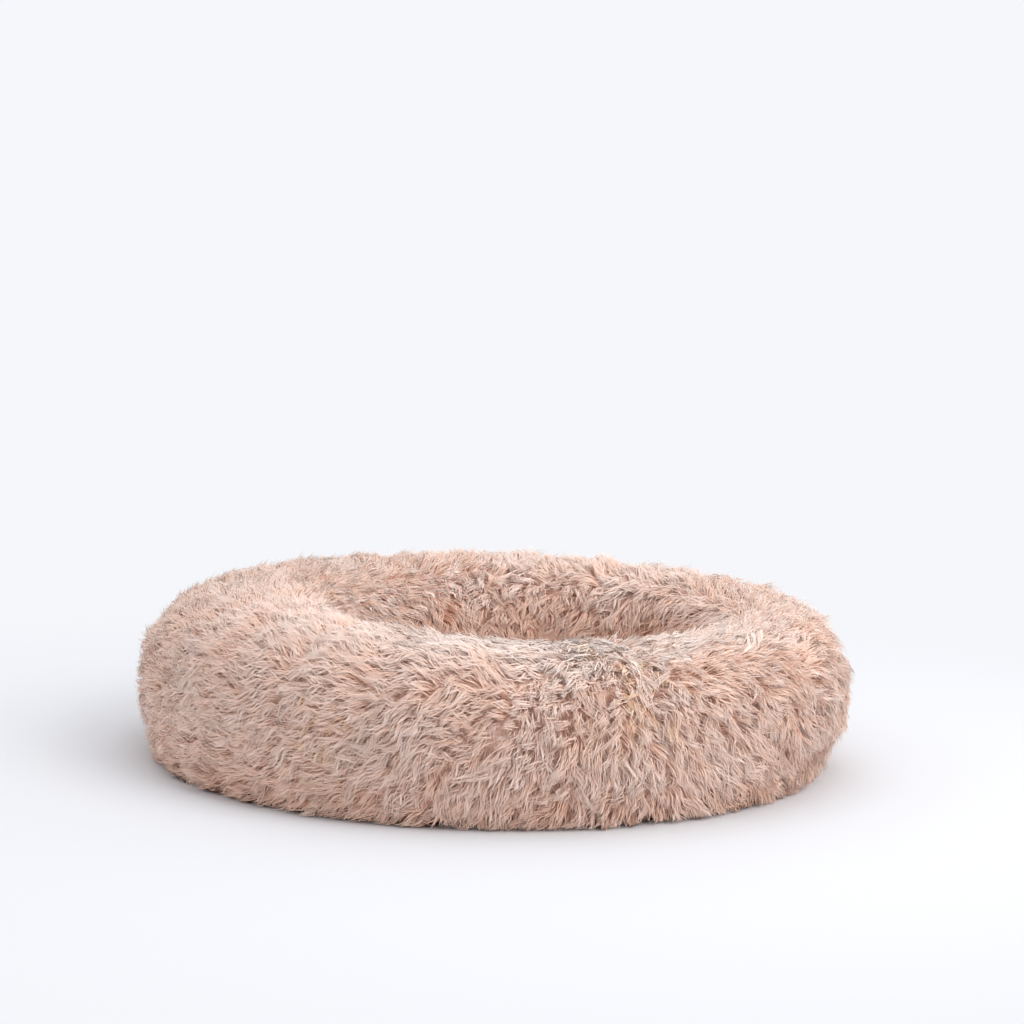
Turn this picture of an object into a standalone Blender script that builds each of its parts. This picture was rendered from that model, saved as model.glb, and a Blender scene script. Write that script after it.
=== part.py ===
"""Round plush pet bed: a stuffed ring round a padded nest, inside a cover that zips off at the back.

Metres, +Z up. The bed stands on Z = 0, its middle is on the Z axis and its front faces -Y.
Angles round the bed are counted from the front, towards +X.
"""

import math

import bmesh
import bpy
from mathutils import Matrix, Vector

# Whole bed
OUTER_RADIUS = 0.300
BED_HEIGHT = 0.141
HEIGHT_SWING = 0.0045
LOWEST_CREST_ANGLE = math.radians(30)
OVAL_SHARE = 0.0233
OVAL_ANGLE = math.radians(58.6)
SQUARENESS_SHARE = 0.0123
SQUARENESS_ANGLE = math.radians(-14.7)
BELLY_HEIGHT = 0.062
SEAT_GAP = 0.0003

# Stuffed ring
FOOT_INSET = 0.063
NEST_FOOT_REACH = 0.030
UPPER_POWER = 2.3
LINING_LOWER_POWER = 2.1
PILE_LOWER_POWER = 2.6

# Nest
WELL_RADIUS = 0.145
WELL_SHIFT = 0.040
NEST_SEAM_HEIGHT = 0.030
NEST_CROWN = 0.008
NEST_CLEARANCE = 0.0008
CUSHION_OVERREACH = 0.010
CUSHION_CORNER = 0.009

# Plush cover
PILE_DEPTH = 0.014
PANEL_NAMES = (
    "plush_front",
    "plush_front_right",
    "plush_rear_right",
    "plush_rear",
    "plush_rear_left",
    "plush_front_left",
)
FIRST_SEAM_ANGLE = math.radians(-33)
SEAM_TUCK = 0.005
SEAM_TUCK_WIDTH = 0.016
GATHER_DEPTH = 0.006
GATHERS_PER_PANEL = 2
SEAM_CROWDING_SHARE = 0.05

# Linings and base
COVER_EASE = 0.0018
FIBRE_EASE = 0.0008
LINING_THICKNESS = 0.0014
BASE_THICKNESS = 0.002

# Zip
TOOTH_COUNT = 88
TOOTH_PITCH = 0.0046
TOOTH_THICKNESS = 0.003
TOOTH_LENGTH = 0.0036
TOOTH_TIP_SHARE = 0.56
BEAD_OFFSET = 0.0022
BEAD_WIDTH = 0.002
TAPE_THICKNESS = 0.0009
TAPE_WIDTH = 0.0065
TAPE_END_LENGTH = 0.022
ZIP_TO_LINING = 0.0006
ZIP_NOTCH_SPARE = 0.016
ZIP_NOTCH_RAMP = 0.085
STOP_LENGTH = 0.003
STOP_THICKNESS = 0.0036

# Zip slider and its pull tab
SLIDER_LENGTH = 0.013
SLIDER_SHOULDER_WIDTH = 0.0128
SLIDER_TAIL_WIDTH = 0.0112
SLIDER_PLATE = 0.0014
SLIDER_CLEARANCE = 0.0004
SLIDER_PARK_GAP = 0.0008
RAIL_WIDTH = 0.0009
BRIDGE_WIDTH = 0.0024
BRIDGE_WALL = 0.0012
BRIDGE_LENGTH = 0.0072
PULL_BAR = 0.0016
PULL_CLEARANCE = 0.0005
PULL_LENGTH = 0.024
PULL_WIDTH = 0.0075
PULL_END_WIDTH = 0.0062
PULL_WINDOW = 0.0046
SLIDER_RUN_SPARE = 0.004

# Facets
PANEL_COLUMNS = 12
PANEL_ROWS = 18
ROWS_BELOW_BELLY = 5
RING_STEPS = 40
CREST_STEPS = 8
FLANK_STEPS = 5
TURN_STEPS = 32
PAD_RINGS = 5
CORNER_STEPS = 3
BASE_SIDES = 96
TAPE_STEPS = 28
BAR_SIDES = 12

# Sizes worked out from those above
CORE_INSET = PILE_DEPTH + COVER_EASE
RING_FLOOR = BASE_THICKNESS + SEAT_GAP
PANEL_ANGLE = math.tau / len(PANEL_NAMES)
BELLY_SHARE = ROWS_BELOW_BELLY / PANEL_ROWS
ZIP_HALF_WIDTH = BEAD_OFFSET + BEAD_WIDTH + SEAT_GAP + TAPE_WIDTH
ZIP_HEIGHT = RING_FLOOR + ZIP_HALF_WIDTH
ZIP_TOP = ZIP_HEIGHT + ZIP_HALF_WIDTH + SEAT_GAP


def power_cos(angle, power):
    """The cosine of a superellipse: rounder than a circle's where power is over 2."""
    cosine = math.cos(angle)
    return math.copysign(abs(cosine) ** (2 / power), cosine)


def power_sin(angle, power):
    sine = math.sin(angle)
    return math.copysign(abs(sine) ** (2 / power), sine)


def smooth(share):
    share = min(max(share, 0), 1)
    return share * share * (3 - 2 * share)


def unevenness(theta):
    """How much farther out than a circle the soft wall bulges at this angle: a little oval, a little square."""
    oval = OVAL_SHARE * math.cos(2 * (theta - OVAL_ANGLE))
    square = SQUARENESS_SHARE * math.cos(4 * (theta - SQUARENESS_ANGLE))
    return OUTER_RADIUS * (oval + square)


def well_edge(theta):
    """How far the nest's wall is from the middle of the bed. The well is a circle beside the middle."""
    across = WELL_SHIFT * math.cos(theta)
    return WELL_SHIFT * math.sin(theta) + math.sqrt(WELL_RADIUS**2 - across**2)


def crest_height(theta):
    return BED_HEIGHT - HEIGHT_SWING * math.cos(theta - LOWEST_CREST_ANGLE)


def lowest(inset):
    """The height of the ring's underside, for the layer that lies this far inside the pile."""
    return RING_FLOOR + inset - CORE_INSET


def section_point(theta, turn, inset, lower_power, towards_nest=False):
    """Radius and height on the ring's section. turn runs up the outside from 0, over the crest at a quarter."""
    round_outer = OUTER_RADIUS - inset
    bulge = unevenness(theta)
    inner = well_edge(theta) + inset
    if math.sin(turn) >= 0:
        crest = (round_outer + bulge + inner) / 2
        rise = crest_height(theta) - inset - BELLY_HEIGHT
        radius = crest + (crest - inner) * power_cos(turn, UPPER_POWER)
        return radius, BELLY_HEIGHT + rise * power_sin(turn, UPPER_POWER)
    drop = BELLY_HEIGHT - lowest(inset)
    height = BELLY_HEIGHT + drop * power_sin(turn, lower_power)
    if towards_nest:
        foot = inner + NEST_FOOT_REACH
        return foot + NEST_FOOT_REACH * power_cos(turn, lower_power), height
    foot = OUTER_RADIUS - FOOT_INSET
    radius = foot + (round_outer - foot) * power_cos(turn, lower_power)
    return radius + bulge * smooth((height - ZIP_TOP) / (BELLY_HEIGHT - ZIP_TOP)), height


def turn_at(height, inset, lower_power):
    """How far below the belly, as an angle, the lower part of the section reaches this height."""
    share = (BELLY_HEIGHT - height) / (BELLY_HEIGHT - lowest(inset))
    return math.asin(min(share, 1) ** (lower_power / 2))


def at(theta, radius, height):
    return Vector((radius * math.sin(theta), -radius * math.cos(theta), height))


def lining_radius_at_zip():
    """The radius of the lining at the height of the zip's upper edge, where the wall is still round."""
    turn = -turn_at(ZIP_TOP, CORE_INSET, LINING_LOWER_POWER)
    return section_point(0, turn, CORE_INSET, LINING_LOWER_POWER)[0]


ZIP_RADIUS = lining_radius_at_zip() + ZIP_TO_LINING + TAPE_THICKNESS
BASE_RADIUS = ZIP_RADIUS + TAPE_THICKNESS / 2
PITCH_ANGLE = TOOTH_PITCH / ZIP_RADIUS
CHAIN_ANGLE = PITCH_ANGLE * TOOTH_COUNT
CHAIN_START = math.pi - CHAIN_ANGLE / 2
STOP_ANGLE = (STOP_LENGTH + 2 * SEAT_GAP) / ZIP_RADIUS
TAPE_ANGLE = CHAIN_ANGLE + 2 * STOP_ANGLE + 2 * TAPE_END_LENGTH / ZIP_RADIUS
TAPE_START = math.pi - TAPE_ANGLE / 2
NOTCH_HALF_ANGLE = TAPE_ANGLE / 2 + ZIP_NOTCH_SPARE / ZIP_RADIUS
NOTCH_RAMP_ANGLE = ZIP_NOTCH_RAMP / ZIP_RADIUS
CHAIN_FRONT = ZIP_RADIUS + TOOTH_THICKNESS / 2
PLATE_BACK = CHAIN_FRONT + SLIDER_CLEARANCE
PLATE_FRONT = PLATE_BACK + SLIDER_PLATE
PULL_AXIS_RADIUS = PLATE_FRONT + PULL_CLEARANCE + PULL_BAR / 2
BRIDGE_FRONT = PULL_AXIS_RADIUS + PULL_BAR / 2 + PULL_CLEARANCE + BRIDGE_WALL
SLIDER_PARK_ANGLE = CHAIN_START + (SLIDER_PARK_GAP + SLIDER_LENGTH / 2) / ZIP_RADIUS
SLIDER_RUN_ANGLE = CHAIN_ANGLE - (SLIDER_LENGTH + SLIDER_RUN_SPARE) / ZIP_RADIUS


def lower_edge(theta):
    """The height of the plush wall's lower edge: down at the base, and lifted over the zip at the back."""
    from_back = abs((theta % math.tau) - math.pi)
    lifted = 1 - smooth((from_back - NOTCH_HALF_ANGLE) / NOTCH_RAMP_ANGLE)
    return RING_FLOOR + (ZIP_TOP - RING_FLOOR) * lifted


def tucked(theta, across, turn):
    """How far the pile is drawn in: at the seams between panels, and in the gathers down the nest's wall."""
    from_seam = min(across, 1 - across) * PANEL_ANGLE * OUTER_RADIUS
    seam = SEAM_TUCK * math.exp(-((from_seam / SEAM_TUCK_WIDTH) ** 2))
    seam *= smooth((turn + math.pi / 2) / (math.pi / 2))
    wave = 0.5 - 0.5 * math.cos(math.tau * GATHERS_PER_PANEL * (across + 0.5))
    gather = GATHER_DEPTH * wave * smooth((turn - math.pi / 2) / (math.pi / 3))
    return max(seam, gather)


def crowded(across):
    """Columns stand closer together near a panel's two seams, where the pile is drawn in."""
    return across - SEAM_CROWDING_SHARE * math.sin(math.tau * across)


def panel_skin(first_angle, inset, lower_power, is_pile):
    """A function that places a point of a plush panel: across from seam to seam, and along over the ring."""

    def place(across, along):
        across = crowded(across)
        theta = first_angle + PANEL_ANGLE * across
        if along < BELLY_SHARE:
            start = -turn_at(lower_edge(theta), inset, lower_power)
            turn = start * (1 - along / BELLY_SHARE)
        else:
            end = math.pi + turn_at(NEST_SEAM_HEIGHT, inset, lower_power)
            turn = end * (along - BELLY_SHARE) / (1 - BELLY_SHARE)
        deeper = inset + (tucked(theta, across, turn) if is_pile else 0)
        radius, height = section_point(
            theta, turn, deeper, lower_power, turn > math.pi
        )
        half_gap_angle = SEAT_GAP / 2 / radius
        return at(theta + half_gap_angle * (1 - 2 * across), radius, height)

    return place


def collection_of(name):
    made = bpy.data.collections.new(name)
    bpy.context.scene.collection.children.link(made)
    return made


def finish_of(name, colour, roughness, metallic=0):
    made = bpy.data.materials.new(name)
    made.use_nodes = True
    shader = made.node_tree.nodes["Principled BSDF"]
    shader.inputs["Base Color"].default_value = (*colour, 1)
    shader.inputs["Roughness"].default_value = roughness
    shader.inputs["Metallic"].default_value = metallic
    return made


def new_object(name, mesh, parts, finish):
    """Puts a finished bmesh into the scene as one named piece."""
    bmesh.ops.recalc_face_normals(mesh, faces=mesh.faces[:])
    data = bpy.data.meshes.new(name)
    mesh.to_mesh(data)
    mesh.free()
    data.materials.append(finish)
    data.shade_smooth()
    data.set_sharp_from_angle(angle=math.radians(50))
    made = bpy.data.objects.new(name, data)
    parts.objects.link(made)
    return made


def thick_sheet(name, outer_skin, inner_skin, parts, finish):
    """A padded sheet: a grid laid on the outer skin, and its extruded copy laid on the inner one."""
    mesh = bmesh.new()
    bmesh.ops.create_grid(
        mesh, x_segments=PANEL_COLUMNS, y_segments=PANEL_ROWS, size=0.5
    )
    outer_verts = mesh.verts[:]
    grown = bmesh.ops.extrude_face_region(mesh, geom=mesh.faces[:])["geom"]
    inner_verts = [item for item in grown if isinstance(item, bmesh.types.BMVert)]
    for verts, skin in ((outer_verts, outer_skin), (inner_verts, inner_skin)):
        for vert in verts:
            vert.co = skin(vert.co.x + 0.5, vert.co.y + 0.5)
    return new_object(name, mesh, parts, finish)


def plush_panels(parts, finish):
    """The six panels of the ring's cover, sewn side by side from the base edge over the crest into the nest."""
    for index, name in enumerate(PANEL_NAMES):
        first = FIRST_SEAM_ANGLE + PANEL_ANGLE * index
        pile = panel_skin(first, 0, PILE_LOWER_POWER, True)
        backing = panel_skin(first, PILE_DEPTH, LINING_LOWER_POWER, False)
        thick_sheet(name, pile, backing, parts, finish)


def ring_along(name, outline, parts, finish):
    """A closed ring from a torus whose small circle is laid on the outline at each angle round the bed."""
    count = len(outline(0))
    bpy.ops.mesh.primitive_torus_add(
        major_segments=RING_STEPS, minor_segments=count, location=(0, 0, 0)
    )
    made = bpy.context.object
    made.name = name
    for collection in made.users_collection:
        collection.objects.unlink(made)
    parts.objects.link(made)
    made.data.materials.append(finish)
    for step in range(RING_STEPS):
        theta = math.tau * step / RING_STEPS
        for place, (radius, height) in enumerate(outline(theta)):
            made.data.vertices[step * count + place].co = at(theta, radius, height)
    made.data.shade_smooth()
    return made


def arc_points(theta, inset, upper):
    """Section points of one half of the ring: over the crest, or under the belly along the floor."""
    power = LINING_LOWER_POWER
    if upper:
        turns = [math.pi * step / CREST_STEPS for step in range(CREST_STEPS + 1)]
        return [section_point(theta, turn, inset, power) for turn in turns]
    steps = range(FLANK_STEPS + 1)
    half_turn = math.pi / 2
    down = [math.pi + half_turn * step / FLANK_STEPS for step in steps]
    up = [-half_turn + half_turn * step / FLANK_STEPS for step in steps]
    nest_side = [section_point(theta, turn, inset, power, True) for turn in down]
    out_side = [section_point(theta, turn, inset, power) for turn in up]
    return nest_side + out_side


def gutter_outline(upper):
    """The outline of a lining half: along its outside, and back along its inside."""

    def outline(theta):
        outside = arc_points(theta, CORE_INSET, upper)
        inside = arc_points(theta, CORE_INSET + LINING_THICKNESS, upper)
        points = outside + inside[::-1]
        least = BELLY_HEIGHT + SEAT_GAP
        return [(radius, max(height, least) if upper else height) for radius, height in points]

    return outline


def fill_outline(theta):
    inset = CORE_INSET + LINING_THICKNESS + FIBRE_EASE
    return arc_points(theta, inset, True) + arc_points(theta, inset, False)[1:-1]


def stuffed_ring(parts, lining, fibre):
    """The ring's own insert: a lining of two halves sewn round, and the fibre inside it."""
    ring_along("bolster_lining_upper", gutter_outline(True), parts, lining)
    ring_along("bolster_lining_lower", gutter_outline(False), parts, lining)
    ring_along("bolster_fibre_fill", fill_outline, parts, fibre)


def pad_rise(radius):
    """How much higher the crowned nest is here than at its rim."""
    share = min(radius / (WELL_RADIUS - NEST_CLEARANCE), 1)
    return NEST_CROWN * math.cos(share * math.pi / 2) ** 2


def crowned(radius, height):
    """Points from the middle out to this radius, on the crowned surface of this rim height."""
    rings = [radius * step / PAD_RINGS for step in range(PAD_RINGS + 1)]
    return [(ring, height + pad_rise(ring)) for ring in rings]


def corner(radius, height, size, start):
    """A rounded corner's points about its own centre, a quarter turn down from start."""
    found = []
    for step in range(CORNER_STEPS + 1):
        angle = start - math.pi / 2 * step / CORNER_STEPS
        found.append((radius + size * math.cos(angle), height + size * math.sin(angle)))
    return found


def turned(name, profile, parts, finish, wall=0):
    """A profile turned about the nest's axis. With a wall, the turned surface is a shell that thickens inwards."""
    mesh = bmesh.new()
    verts = [mesh.verts.new((radius, 0, height)) for radius, height in profile]
    for first, second in zip(verts, verts[1:]):
        mesh.edges.new((first, second))
    data = bpy.data.meshes.new(name)
    mesh.to_mesh(data)
    mesh.free()
    data.materials.append(finish)
    made = bpy.data.objects.new(name, data)
    made.location.x = WELL_SHIFT
    parts.objects.link(made)
    screw = made.modifiers.new("turn", "SCREW")
    screw.steps = TURN_STEPS
    screw.render_steps = TURN_STEPS
    screw.use_merge_vertices = True
    screw.merge_threshold = SEAT_GAP / 10
    if wall:
        shell = made.modifiers.new("wall", "SOLIDIFY")
        shell.thickness = wall
        shell.offset = -1
    return made


def nest_floor(parts, finish):
    """The round plush panel that closes the bottom of the nest."""
    radius = WELL_RADIUS - NEST_CLEARANCE
    rim = CORNER_STEPS * SEAT_GAP
    top = crowned(radius - rim, NEST_SEAM_HEIGHT + PILE_DEPTH)
    side = [(radius, NEST_SEAM_HEIGHT + PILE_DEPTH - rim), (radius, NEST_SEAM_HEIGHT)]
    under = crowned(radius, NEST_SEAM_HEIGHT)[-2::-1]
    turned("nest_floor_plush", top + side + under, parts, finish)


def nest_cushion(parts, lining, fibre):
    """The flat cushion under the nest floor: two lining halves and the fibre inside them."""
    radius = WELL_RADIUS + CUSHION_OVERREACH
    top = NEST_SEAM_HEIGHT - SEAT_GAP
    split = (top + RING_FLOOR) / 2
    middle = radius - CUSHION_CORNER
    upper_corner = corner(middle, top - CUSHION_CORNER, CUSHION_CORNER, math.pi / 2)
    lower_corner = corner(middle, RING_FLOOR + CUSHION_CORNER, CUSHION_CORNER, 0)
    crown = crowned(middle, top)[:-1]
    upper = crown + upper_corner + [(radius, split + SEAT_GAP / 2)]
    lower = [(radius, split - SEAT_GAP / 2)] + lower_corner + [(0, RING_FLOOR)]
    turned("cushion_lining_top", upper, parts, lining, LINING_THICKNESS)
    turned("cushion_lining_bottom", lower, parts, lining, LINING_THICKNESS)
    inset = LINING_THICKNESS + SEAT_GAP
    size = CUSHION_CORNER - inset
    fill_crown = [(ring, height - inset) for ring, height in crown]
    fill = fill_crown + corner(middle, top - CUSHION_CORNER, size, math.pi / 2)
    fill += corner(middle, RING_FLOOR + CUSHION_CORNER, size, 0)
    fill.append((0, RING_FLOOR + inset))
    turned("cushion_fibre_fill", fill, parts, fibre)


def base_panel(parts, finish):
    """The flat round cloth that the whole bed stands on."""
    bpy.ops.mesh.primitive_cylinder_add(
        vertices=BASE_SIDES,
        radius=BASE_RADIUS,
        depth=BASE_THICKNESS,
        location=(0, 0, BASE_THICKNESS / 2),
    )
    made = bpy.context.object
    made.name = "base_panel"
    for collection in made.users_collection:
        collection.objects.unlink(made)
    parts.objects.link(made)
    made.data.materials.append(finish)
    return made


def spun_strip(radius, thickness, low, high, start, angle, steps):
    """A flat strip of cloth or plastic, standing on edge, that runs round the bed from start through angle."""
    mesh = bmesh.new()
    corners = [
        at(start, radius - thickness / 2, low),
        at(start, radius + thickness / 2, low),
        at(start, radius + thickness / 2, high),
        at(start, radius - thickness / 2, high),
    ]
    face = mesh.faces.new([mesh.verts.new(point) for point in corners])
    bmesh.ops.spin(
        mesh,
        geom=[face, *face.edges, *face.verts],
        cent=(0, 0, 0),
        axis=(0, 0, 1),
        angle=angle,
        steps=steps,
        use_merge=False,
        use_duplicate=False,
    )
    bmesh.ops.recalc_face_normals(mesh, faces=mesh.faces[:])
    return mesh


def edge_faces(mesh, height):
    """The strip's faces on its edge at this height, in their order round the bed."""
    found = []
    for face in mesh.faces:
        middle = face.calc_center_median()
        if abs(middle.z - height) < SEAT_GAP / 2 and abs(face.normal.z) > 0.5:
            found.append((math.atan2(middle.x, -middle.y) % math.tau, face))
    return [face for _, face in sorted(found, key=lambda pair: pair[0])]


def zip_teeth(name, side, parts, finish):
    """One row of teeth on its bead. side is 1 for the upper row and -1 for the lower one."""
    inner = ZIP_HEIGHT + side * BEAD_OFFSET
    outer = inner + side * BEAD_WIDTH
    mesh = spun_strip(
        ZIP_RADIUS,
        TOOTH_THICKNESS,
        min(inner, outer),
        max(inner, outer),
        CHAIN_START,
        CHAIN_ANGLE,
        2 * TOOTH_COUNT,
    )
    roots = edge_faces(mesh, inner)[(1 - side) // 2 :: 2]
    tips = bmesh.ops.extrude_discrete_faces(mesh, faces=roots)["faces"]
    for tip in tips:
        middle = tip.calc_center_median()
        bmesh.ops.scale(
            mesh,
            vec=Vector((TOOTH_TIP_SHARE, TOOTH_TIP_SHARE, 1)),
            space=Matrix.Translation(-middle),
            verts=tip.verts,
        )
        bmesh.ops.translate(
            mesh, vec=Vector((0, 0, -side * TOOTH_LENGTH)), verts=tip.verts
        )
    return new_object(name, mesh, parts, finish)


def zip_tape(name, side, parts, finish):
    """One woven tape of the zip. Past the teeth its two ends widen, so that the tapes meet."""
    inner = ZIP_HEIGHT + side * (ZIP_HALF_WIDTH - TAPE_WIDTH)
    outer = ZIP_HEIGHT + side * ZIP_HALF_WIDTH
    mesh = spun_strip(
        ZIP_RADIUS,
        TAPE_THICKNESS,
        min(inner, outer),
        max(inner, outer),
        TAPE_START,
        TAPE_ANGLE,
        TAPE_STEPS,
    )
    edge = edge_faces(mesh, inner)
    step_angle = TAPE_ANGLE / TAPE_STEPS
    end_angle = TAPE_END_LENGTH / ZIP_RADIUS
    end_steps = int(end_angle / step_angle)
    to_middle = side * (SEAT_GAP / 2) + ZIP_HEIGHT - inner
    for end in (edge[:end_steps], edge[len(edge) - end_steps :]):
        around = {item for face in end for item in (*face.edges, *face.verts)}
        region = [*end, *around]
        grown = bmesh.ops.extrude_face_region(mesh, geom=region)["geom"]
        verts = [item for item in grown if isinstance(item, bmesh.types.BMVert)]
        bmesh.ops.translate(mesh, vec=Vector((0, 0, to_middle)), verts=verts)
    return new_object(name, mesh, parts, finish)


def block(size, middle):
    """A box as a bmesh, at the front of the bed: X along the zip, Y into the bed, Z up."""
    mesh = bmesh.new()
    bmesh.ops.create_cube(mesh, size=1)
    bmesh.ops.scale(mesh, vec=Vector(size), verts=mesh.verts)
    bmesh.ops.translate(mesh, vec=Vector(middle), verts=mesh.verts)
    return mesh


def zip_stops(parts, finish):
    """The stops at both ends of the chain: one on each row where it closes, and one across both where it opens."""
    past_chain = (SEAT_GAP + STOP_LENGTH / 2) / ZIP_RADIUS
    width = BEAD_WIDTH + BEAD_OFFSET / 2
    offset = BEAD_OFFSET + BEAD_WIDTH - width / 2
    stops = (
        ("zip_top_stop_upper", CHAIN_START - past_chain, width, offset),
        ("zip_top_stop_lower", CHAIN_START - past_chain, width, -offset),
        (
            "zip_bottom_stop",
            CHAIN_START + CHAIN_ANGLE + past_chain,
            2 * (BEAD_OFFSET + BEAD_WIDTH),
            0,
        ),
    )
    for name, theta, tall, lift in stops:
        size = (STOP_LENGTH, STOP_THICKNESS, tall)
        mesh = block(size, (0, -ZIP_RADIUS, lift))
        made = new_object(name, mesh, parts, finish)
        made.location.z = ZIP_HEIGHT
        made.rotation_euler.z = theta
        bevel = made.modifiers.new("soft edges", "BEVEL")
        bevel.width = STOP_LENGTH / 8
        bevel.segments = 2


def flat_outline(name, outlines, thickness, parts):
    """A flat piece from closed outlines in its own XY plane, the later ones being holes, as a mesh object."""
    curve = bpy.data.curves.new(name, "CURVE")
    curve.dimensions = "2D"
    curve.fill_mode = "BOTH"
    curve.extrude = thickness / 2
    for points in outlines:
        spline = curve.splines.new("POLY")
        spline.points.add(len(points) - 1)
        for point, (x, y) in zip(spline.points, points):
            point.co = (x, y, 0, 1)
        spline.use_cyclic_u = True
    guide = bpy.data.objects.new(name, curve)
    parts.objects.link(guide)
    bpy.context.view_layer.update()
    evaluated = guide.evaluated_get(bpy.context.evaluated_depsgraph_get())
    data = bpy.data.meshes.new_from_object(evaluated)
    bpy.data.objects.remove(guide)
    mesh = bmesh.new()
    mesh.from_mesh(data)
    bpy.data.meshes.remove(data)
    bmesh.ops.remove_doubles(mesh, verts=mesh.verts, dist=SEAT_GAP / 30)
    return mesh


def placed(mesh, matrix):
    bmesh.ops.transform(mesh, matrix=matrix, verts=mesh.verts)
    return mesh


def joined(name, meshes, parts, helpers, finish):
    """Several overlapping solids as one, by Boolean unions with hidden helpers."""
    whole = new_object(name, meshes[0], parts, finish)
    for number, mesh in enumerate(meshes[1:]):
        helper = new_object(f"{name}_shape_{number}", mesh, helpers, finish)
        helper.hide_render = True
        helper.display_type = "WIRE"
        union = whole.modifiers.new(f"union {number}", "BOOLEAN")
        union.operation = "UNION"
        union.object = helper
    return whole


def slider_plate():
    """The slider's face: broad shoulders at the end that leads, and a narrower tail."""
    half = SLIDER_LENGTH / 2
    shoulder = SLIDER_SHOULDER_WIDTH / 2
    tail = SLIDER_TAIL_WIDTH / 2
    nose = shoulder / 2
    outline = [
        (half, -tail + RAIL_WIDTH),
        (half, tail - RAIL_WIDTH),
        (half - RAIL_WIDTH, tail),
        (0, tail),
        (-half / 2, shoulder),
        (nose - half, shoulder),
        (-half, nose),
        (-half, -nose),
        (nose - half, -shoulder),
        (-half / 2, -shoulder),
        (0, -tail),
        (half - RAIL_WIDTH, -tail),
    ]
    return outline


def zip_slider(parts, helpers, finish, axis):
    """The slider: a face plate over the chain, a rail along each side of it, and the bridge that holds the pull."""
    standing = Matrix.Rotation(math.pi / 2, 4, "X")
    middle = (PLATE_BACK + PLATE_FRONT) / 2
    plate = flat_outline("zip_slider", [slider_plate()], SLIDER_PLATE, parts)
    placed(plate, Matrix.Translation((0, -middle, 0)) @ standing)
    shapes = [plate]
    rail_back = ZIP_RADIUS + TAPE_THICKNESS / 2 + SLIDER_CLEARANCE
    rail_deep = middle - rail_back
    rail_length = SLIDER_LENGTH - 2 * RAIL_WIDTH
    bead_edge = BEAD_OFFSET + BEAD_WIDTH
    rail_offset = bead_edge + SEAT_GAP + RAIL_WIDTH / 2
    for side in (1, -1):
        place = (0, -(rail_back + rail_deep / 2), side * rail_offset)
        shapes.append(block((rail_length, rail_deep, RAIL_WIDTH), place))
    half = BRIDGE_LENGTH / 2
    slant = BRIDGE_WALL
    under = PULL_AXIS_RADIUS + PULL_BAR / 2 + PULL_CLEARANCE
    arch = [
        (-half, -middle),
        (-half, -under),
        (slant - half, -BRIDGE_FRONT),
        (half - slant, -BRIDGE_FRONT),
        (half, -under),
        (half, -middle),
    ]
    opening = [
        (BRIDGE_WALL - half, -PLATE_FRONT),
        (BRIDGE_WALL - half, -under),
        (half - BRIDGE_WALL, -under),
        (half - BRIDGE_WALL, -PLATE_FRONT),
    ]
    shapes.append(flat_outline("zip_slider", [arch, opening], BRIDGE_WIDTH, parts))
    made = joined("zip_slider", shapes, parts, helpers, finish)
    made.parent = axis
    for helper in helpers.objects:
        helper.parent = axis
    return made


def zip_pull(parts, helpers, finish, axis):
    """The pull tab. Its round bar turns under the slider's bridge, and the tab lies along the chain."""
    arm = (PULL_WIDTH - BRIDGE_WIDTH) / 2 - PULL_CLEARANCE
    window_half = PULL_WIDTH / 2 - arm
    narrow = PULL_END_WIDTH / 2
    wide = PULL_WIDTH / 2
    tip = PULL_LENGTH
    tab = [
        (0, -wide),
        (tip - narrow, -narrow),
        (tip - narrow / 3, -narrow * 2 / 3),
        (tip, 0),
        (tip - narrow / 3, narrow * 2 / 3),
        (tip - narrow, narrow),
        (0, wide),
    ]
    window = [
        (0, -window_half),
        (0, window_half),
        (PULL_WINDOW, window_half),
        (PULL_WINDOW, -window_half),
    ]
    standing = Matrix.Rotation(math.pi / 2, 4, "X")
    outline = [tab, window]
    outline[0][0] = (-PULL_BAR / 4, -wide)
    outline[0][-1] = (-PULL_BAR / 4, wide)
    window[0] = (PULL_BAR / 4, -window_half)
    window[1] = (PULL_BAR / 4, window_half)
    plate = placed(flat_outline("zip_pull", outline, PULL_BAR * 0.8, parts), standing)
    bar = bmesh.new()
    bmesh.ops.create_cone(
        bar,
        cap_ends=True,
        segments=BAR_SIDES,
        radius1=PULL_BAR / 2,
        radius2=PULL_BAR / 2,
        depth=PULL_WIDTH - SEAT_GAP,
    )
    made = joined("zip_pull", [plate, bar], parts, helpers, finish)
    made.parent = axis
    for helper in helpers.objects:
        helper.parent = helper.parent or axis
    return made


def empty_at(name, location, parts):
    made = bpy.data.objects.new(name, None)
    made.location = location
    parts.objects.link(made)
    return made


def zip_fastener(parts, helpers, tape, plastic, metal):
    zip_tape("zip_tape_upper", 1, parts, tape)
    zip_tape("zip_tape_lower", -1, parts, tape)
    zip_teeth("zip_teeth_upper", 1, parts, plastic)
    zip_teeth("zip_teeth_lower", -1, parts, plastic)
    zip_stops(parts, metal)
    run_axis = empty_at("zip_run_axis", (0, 0, ZIP_HEIGHT), parts)
    run_axis.rotation_euler.z = SLIDER_PARK_ANGLE
    zip_slider(parts, helpers, metal, run_axis)
    pull_axis = empty_at("zip_pull_axis", (0, -PULL_AXIS_RADIUS, 0), parts)
    pull_axis.parent = run_axis
    zip_pull(parts, helpers, metal, pull_axis)
    pull_place = at(SLIDER_PARK_ANGLE, PULL_AXIS_RADIUS, ZIP_HEIGHT)
    print("zip run, degrees:", round(math.degrees(SLIDER_RUN_ANGLE), 2))
    print("pull axis, metres:", [round(value, 5) for value in pull_place])


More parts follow.
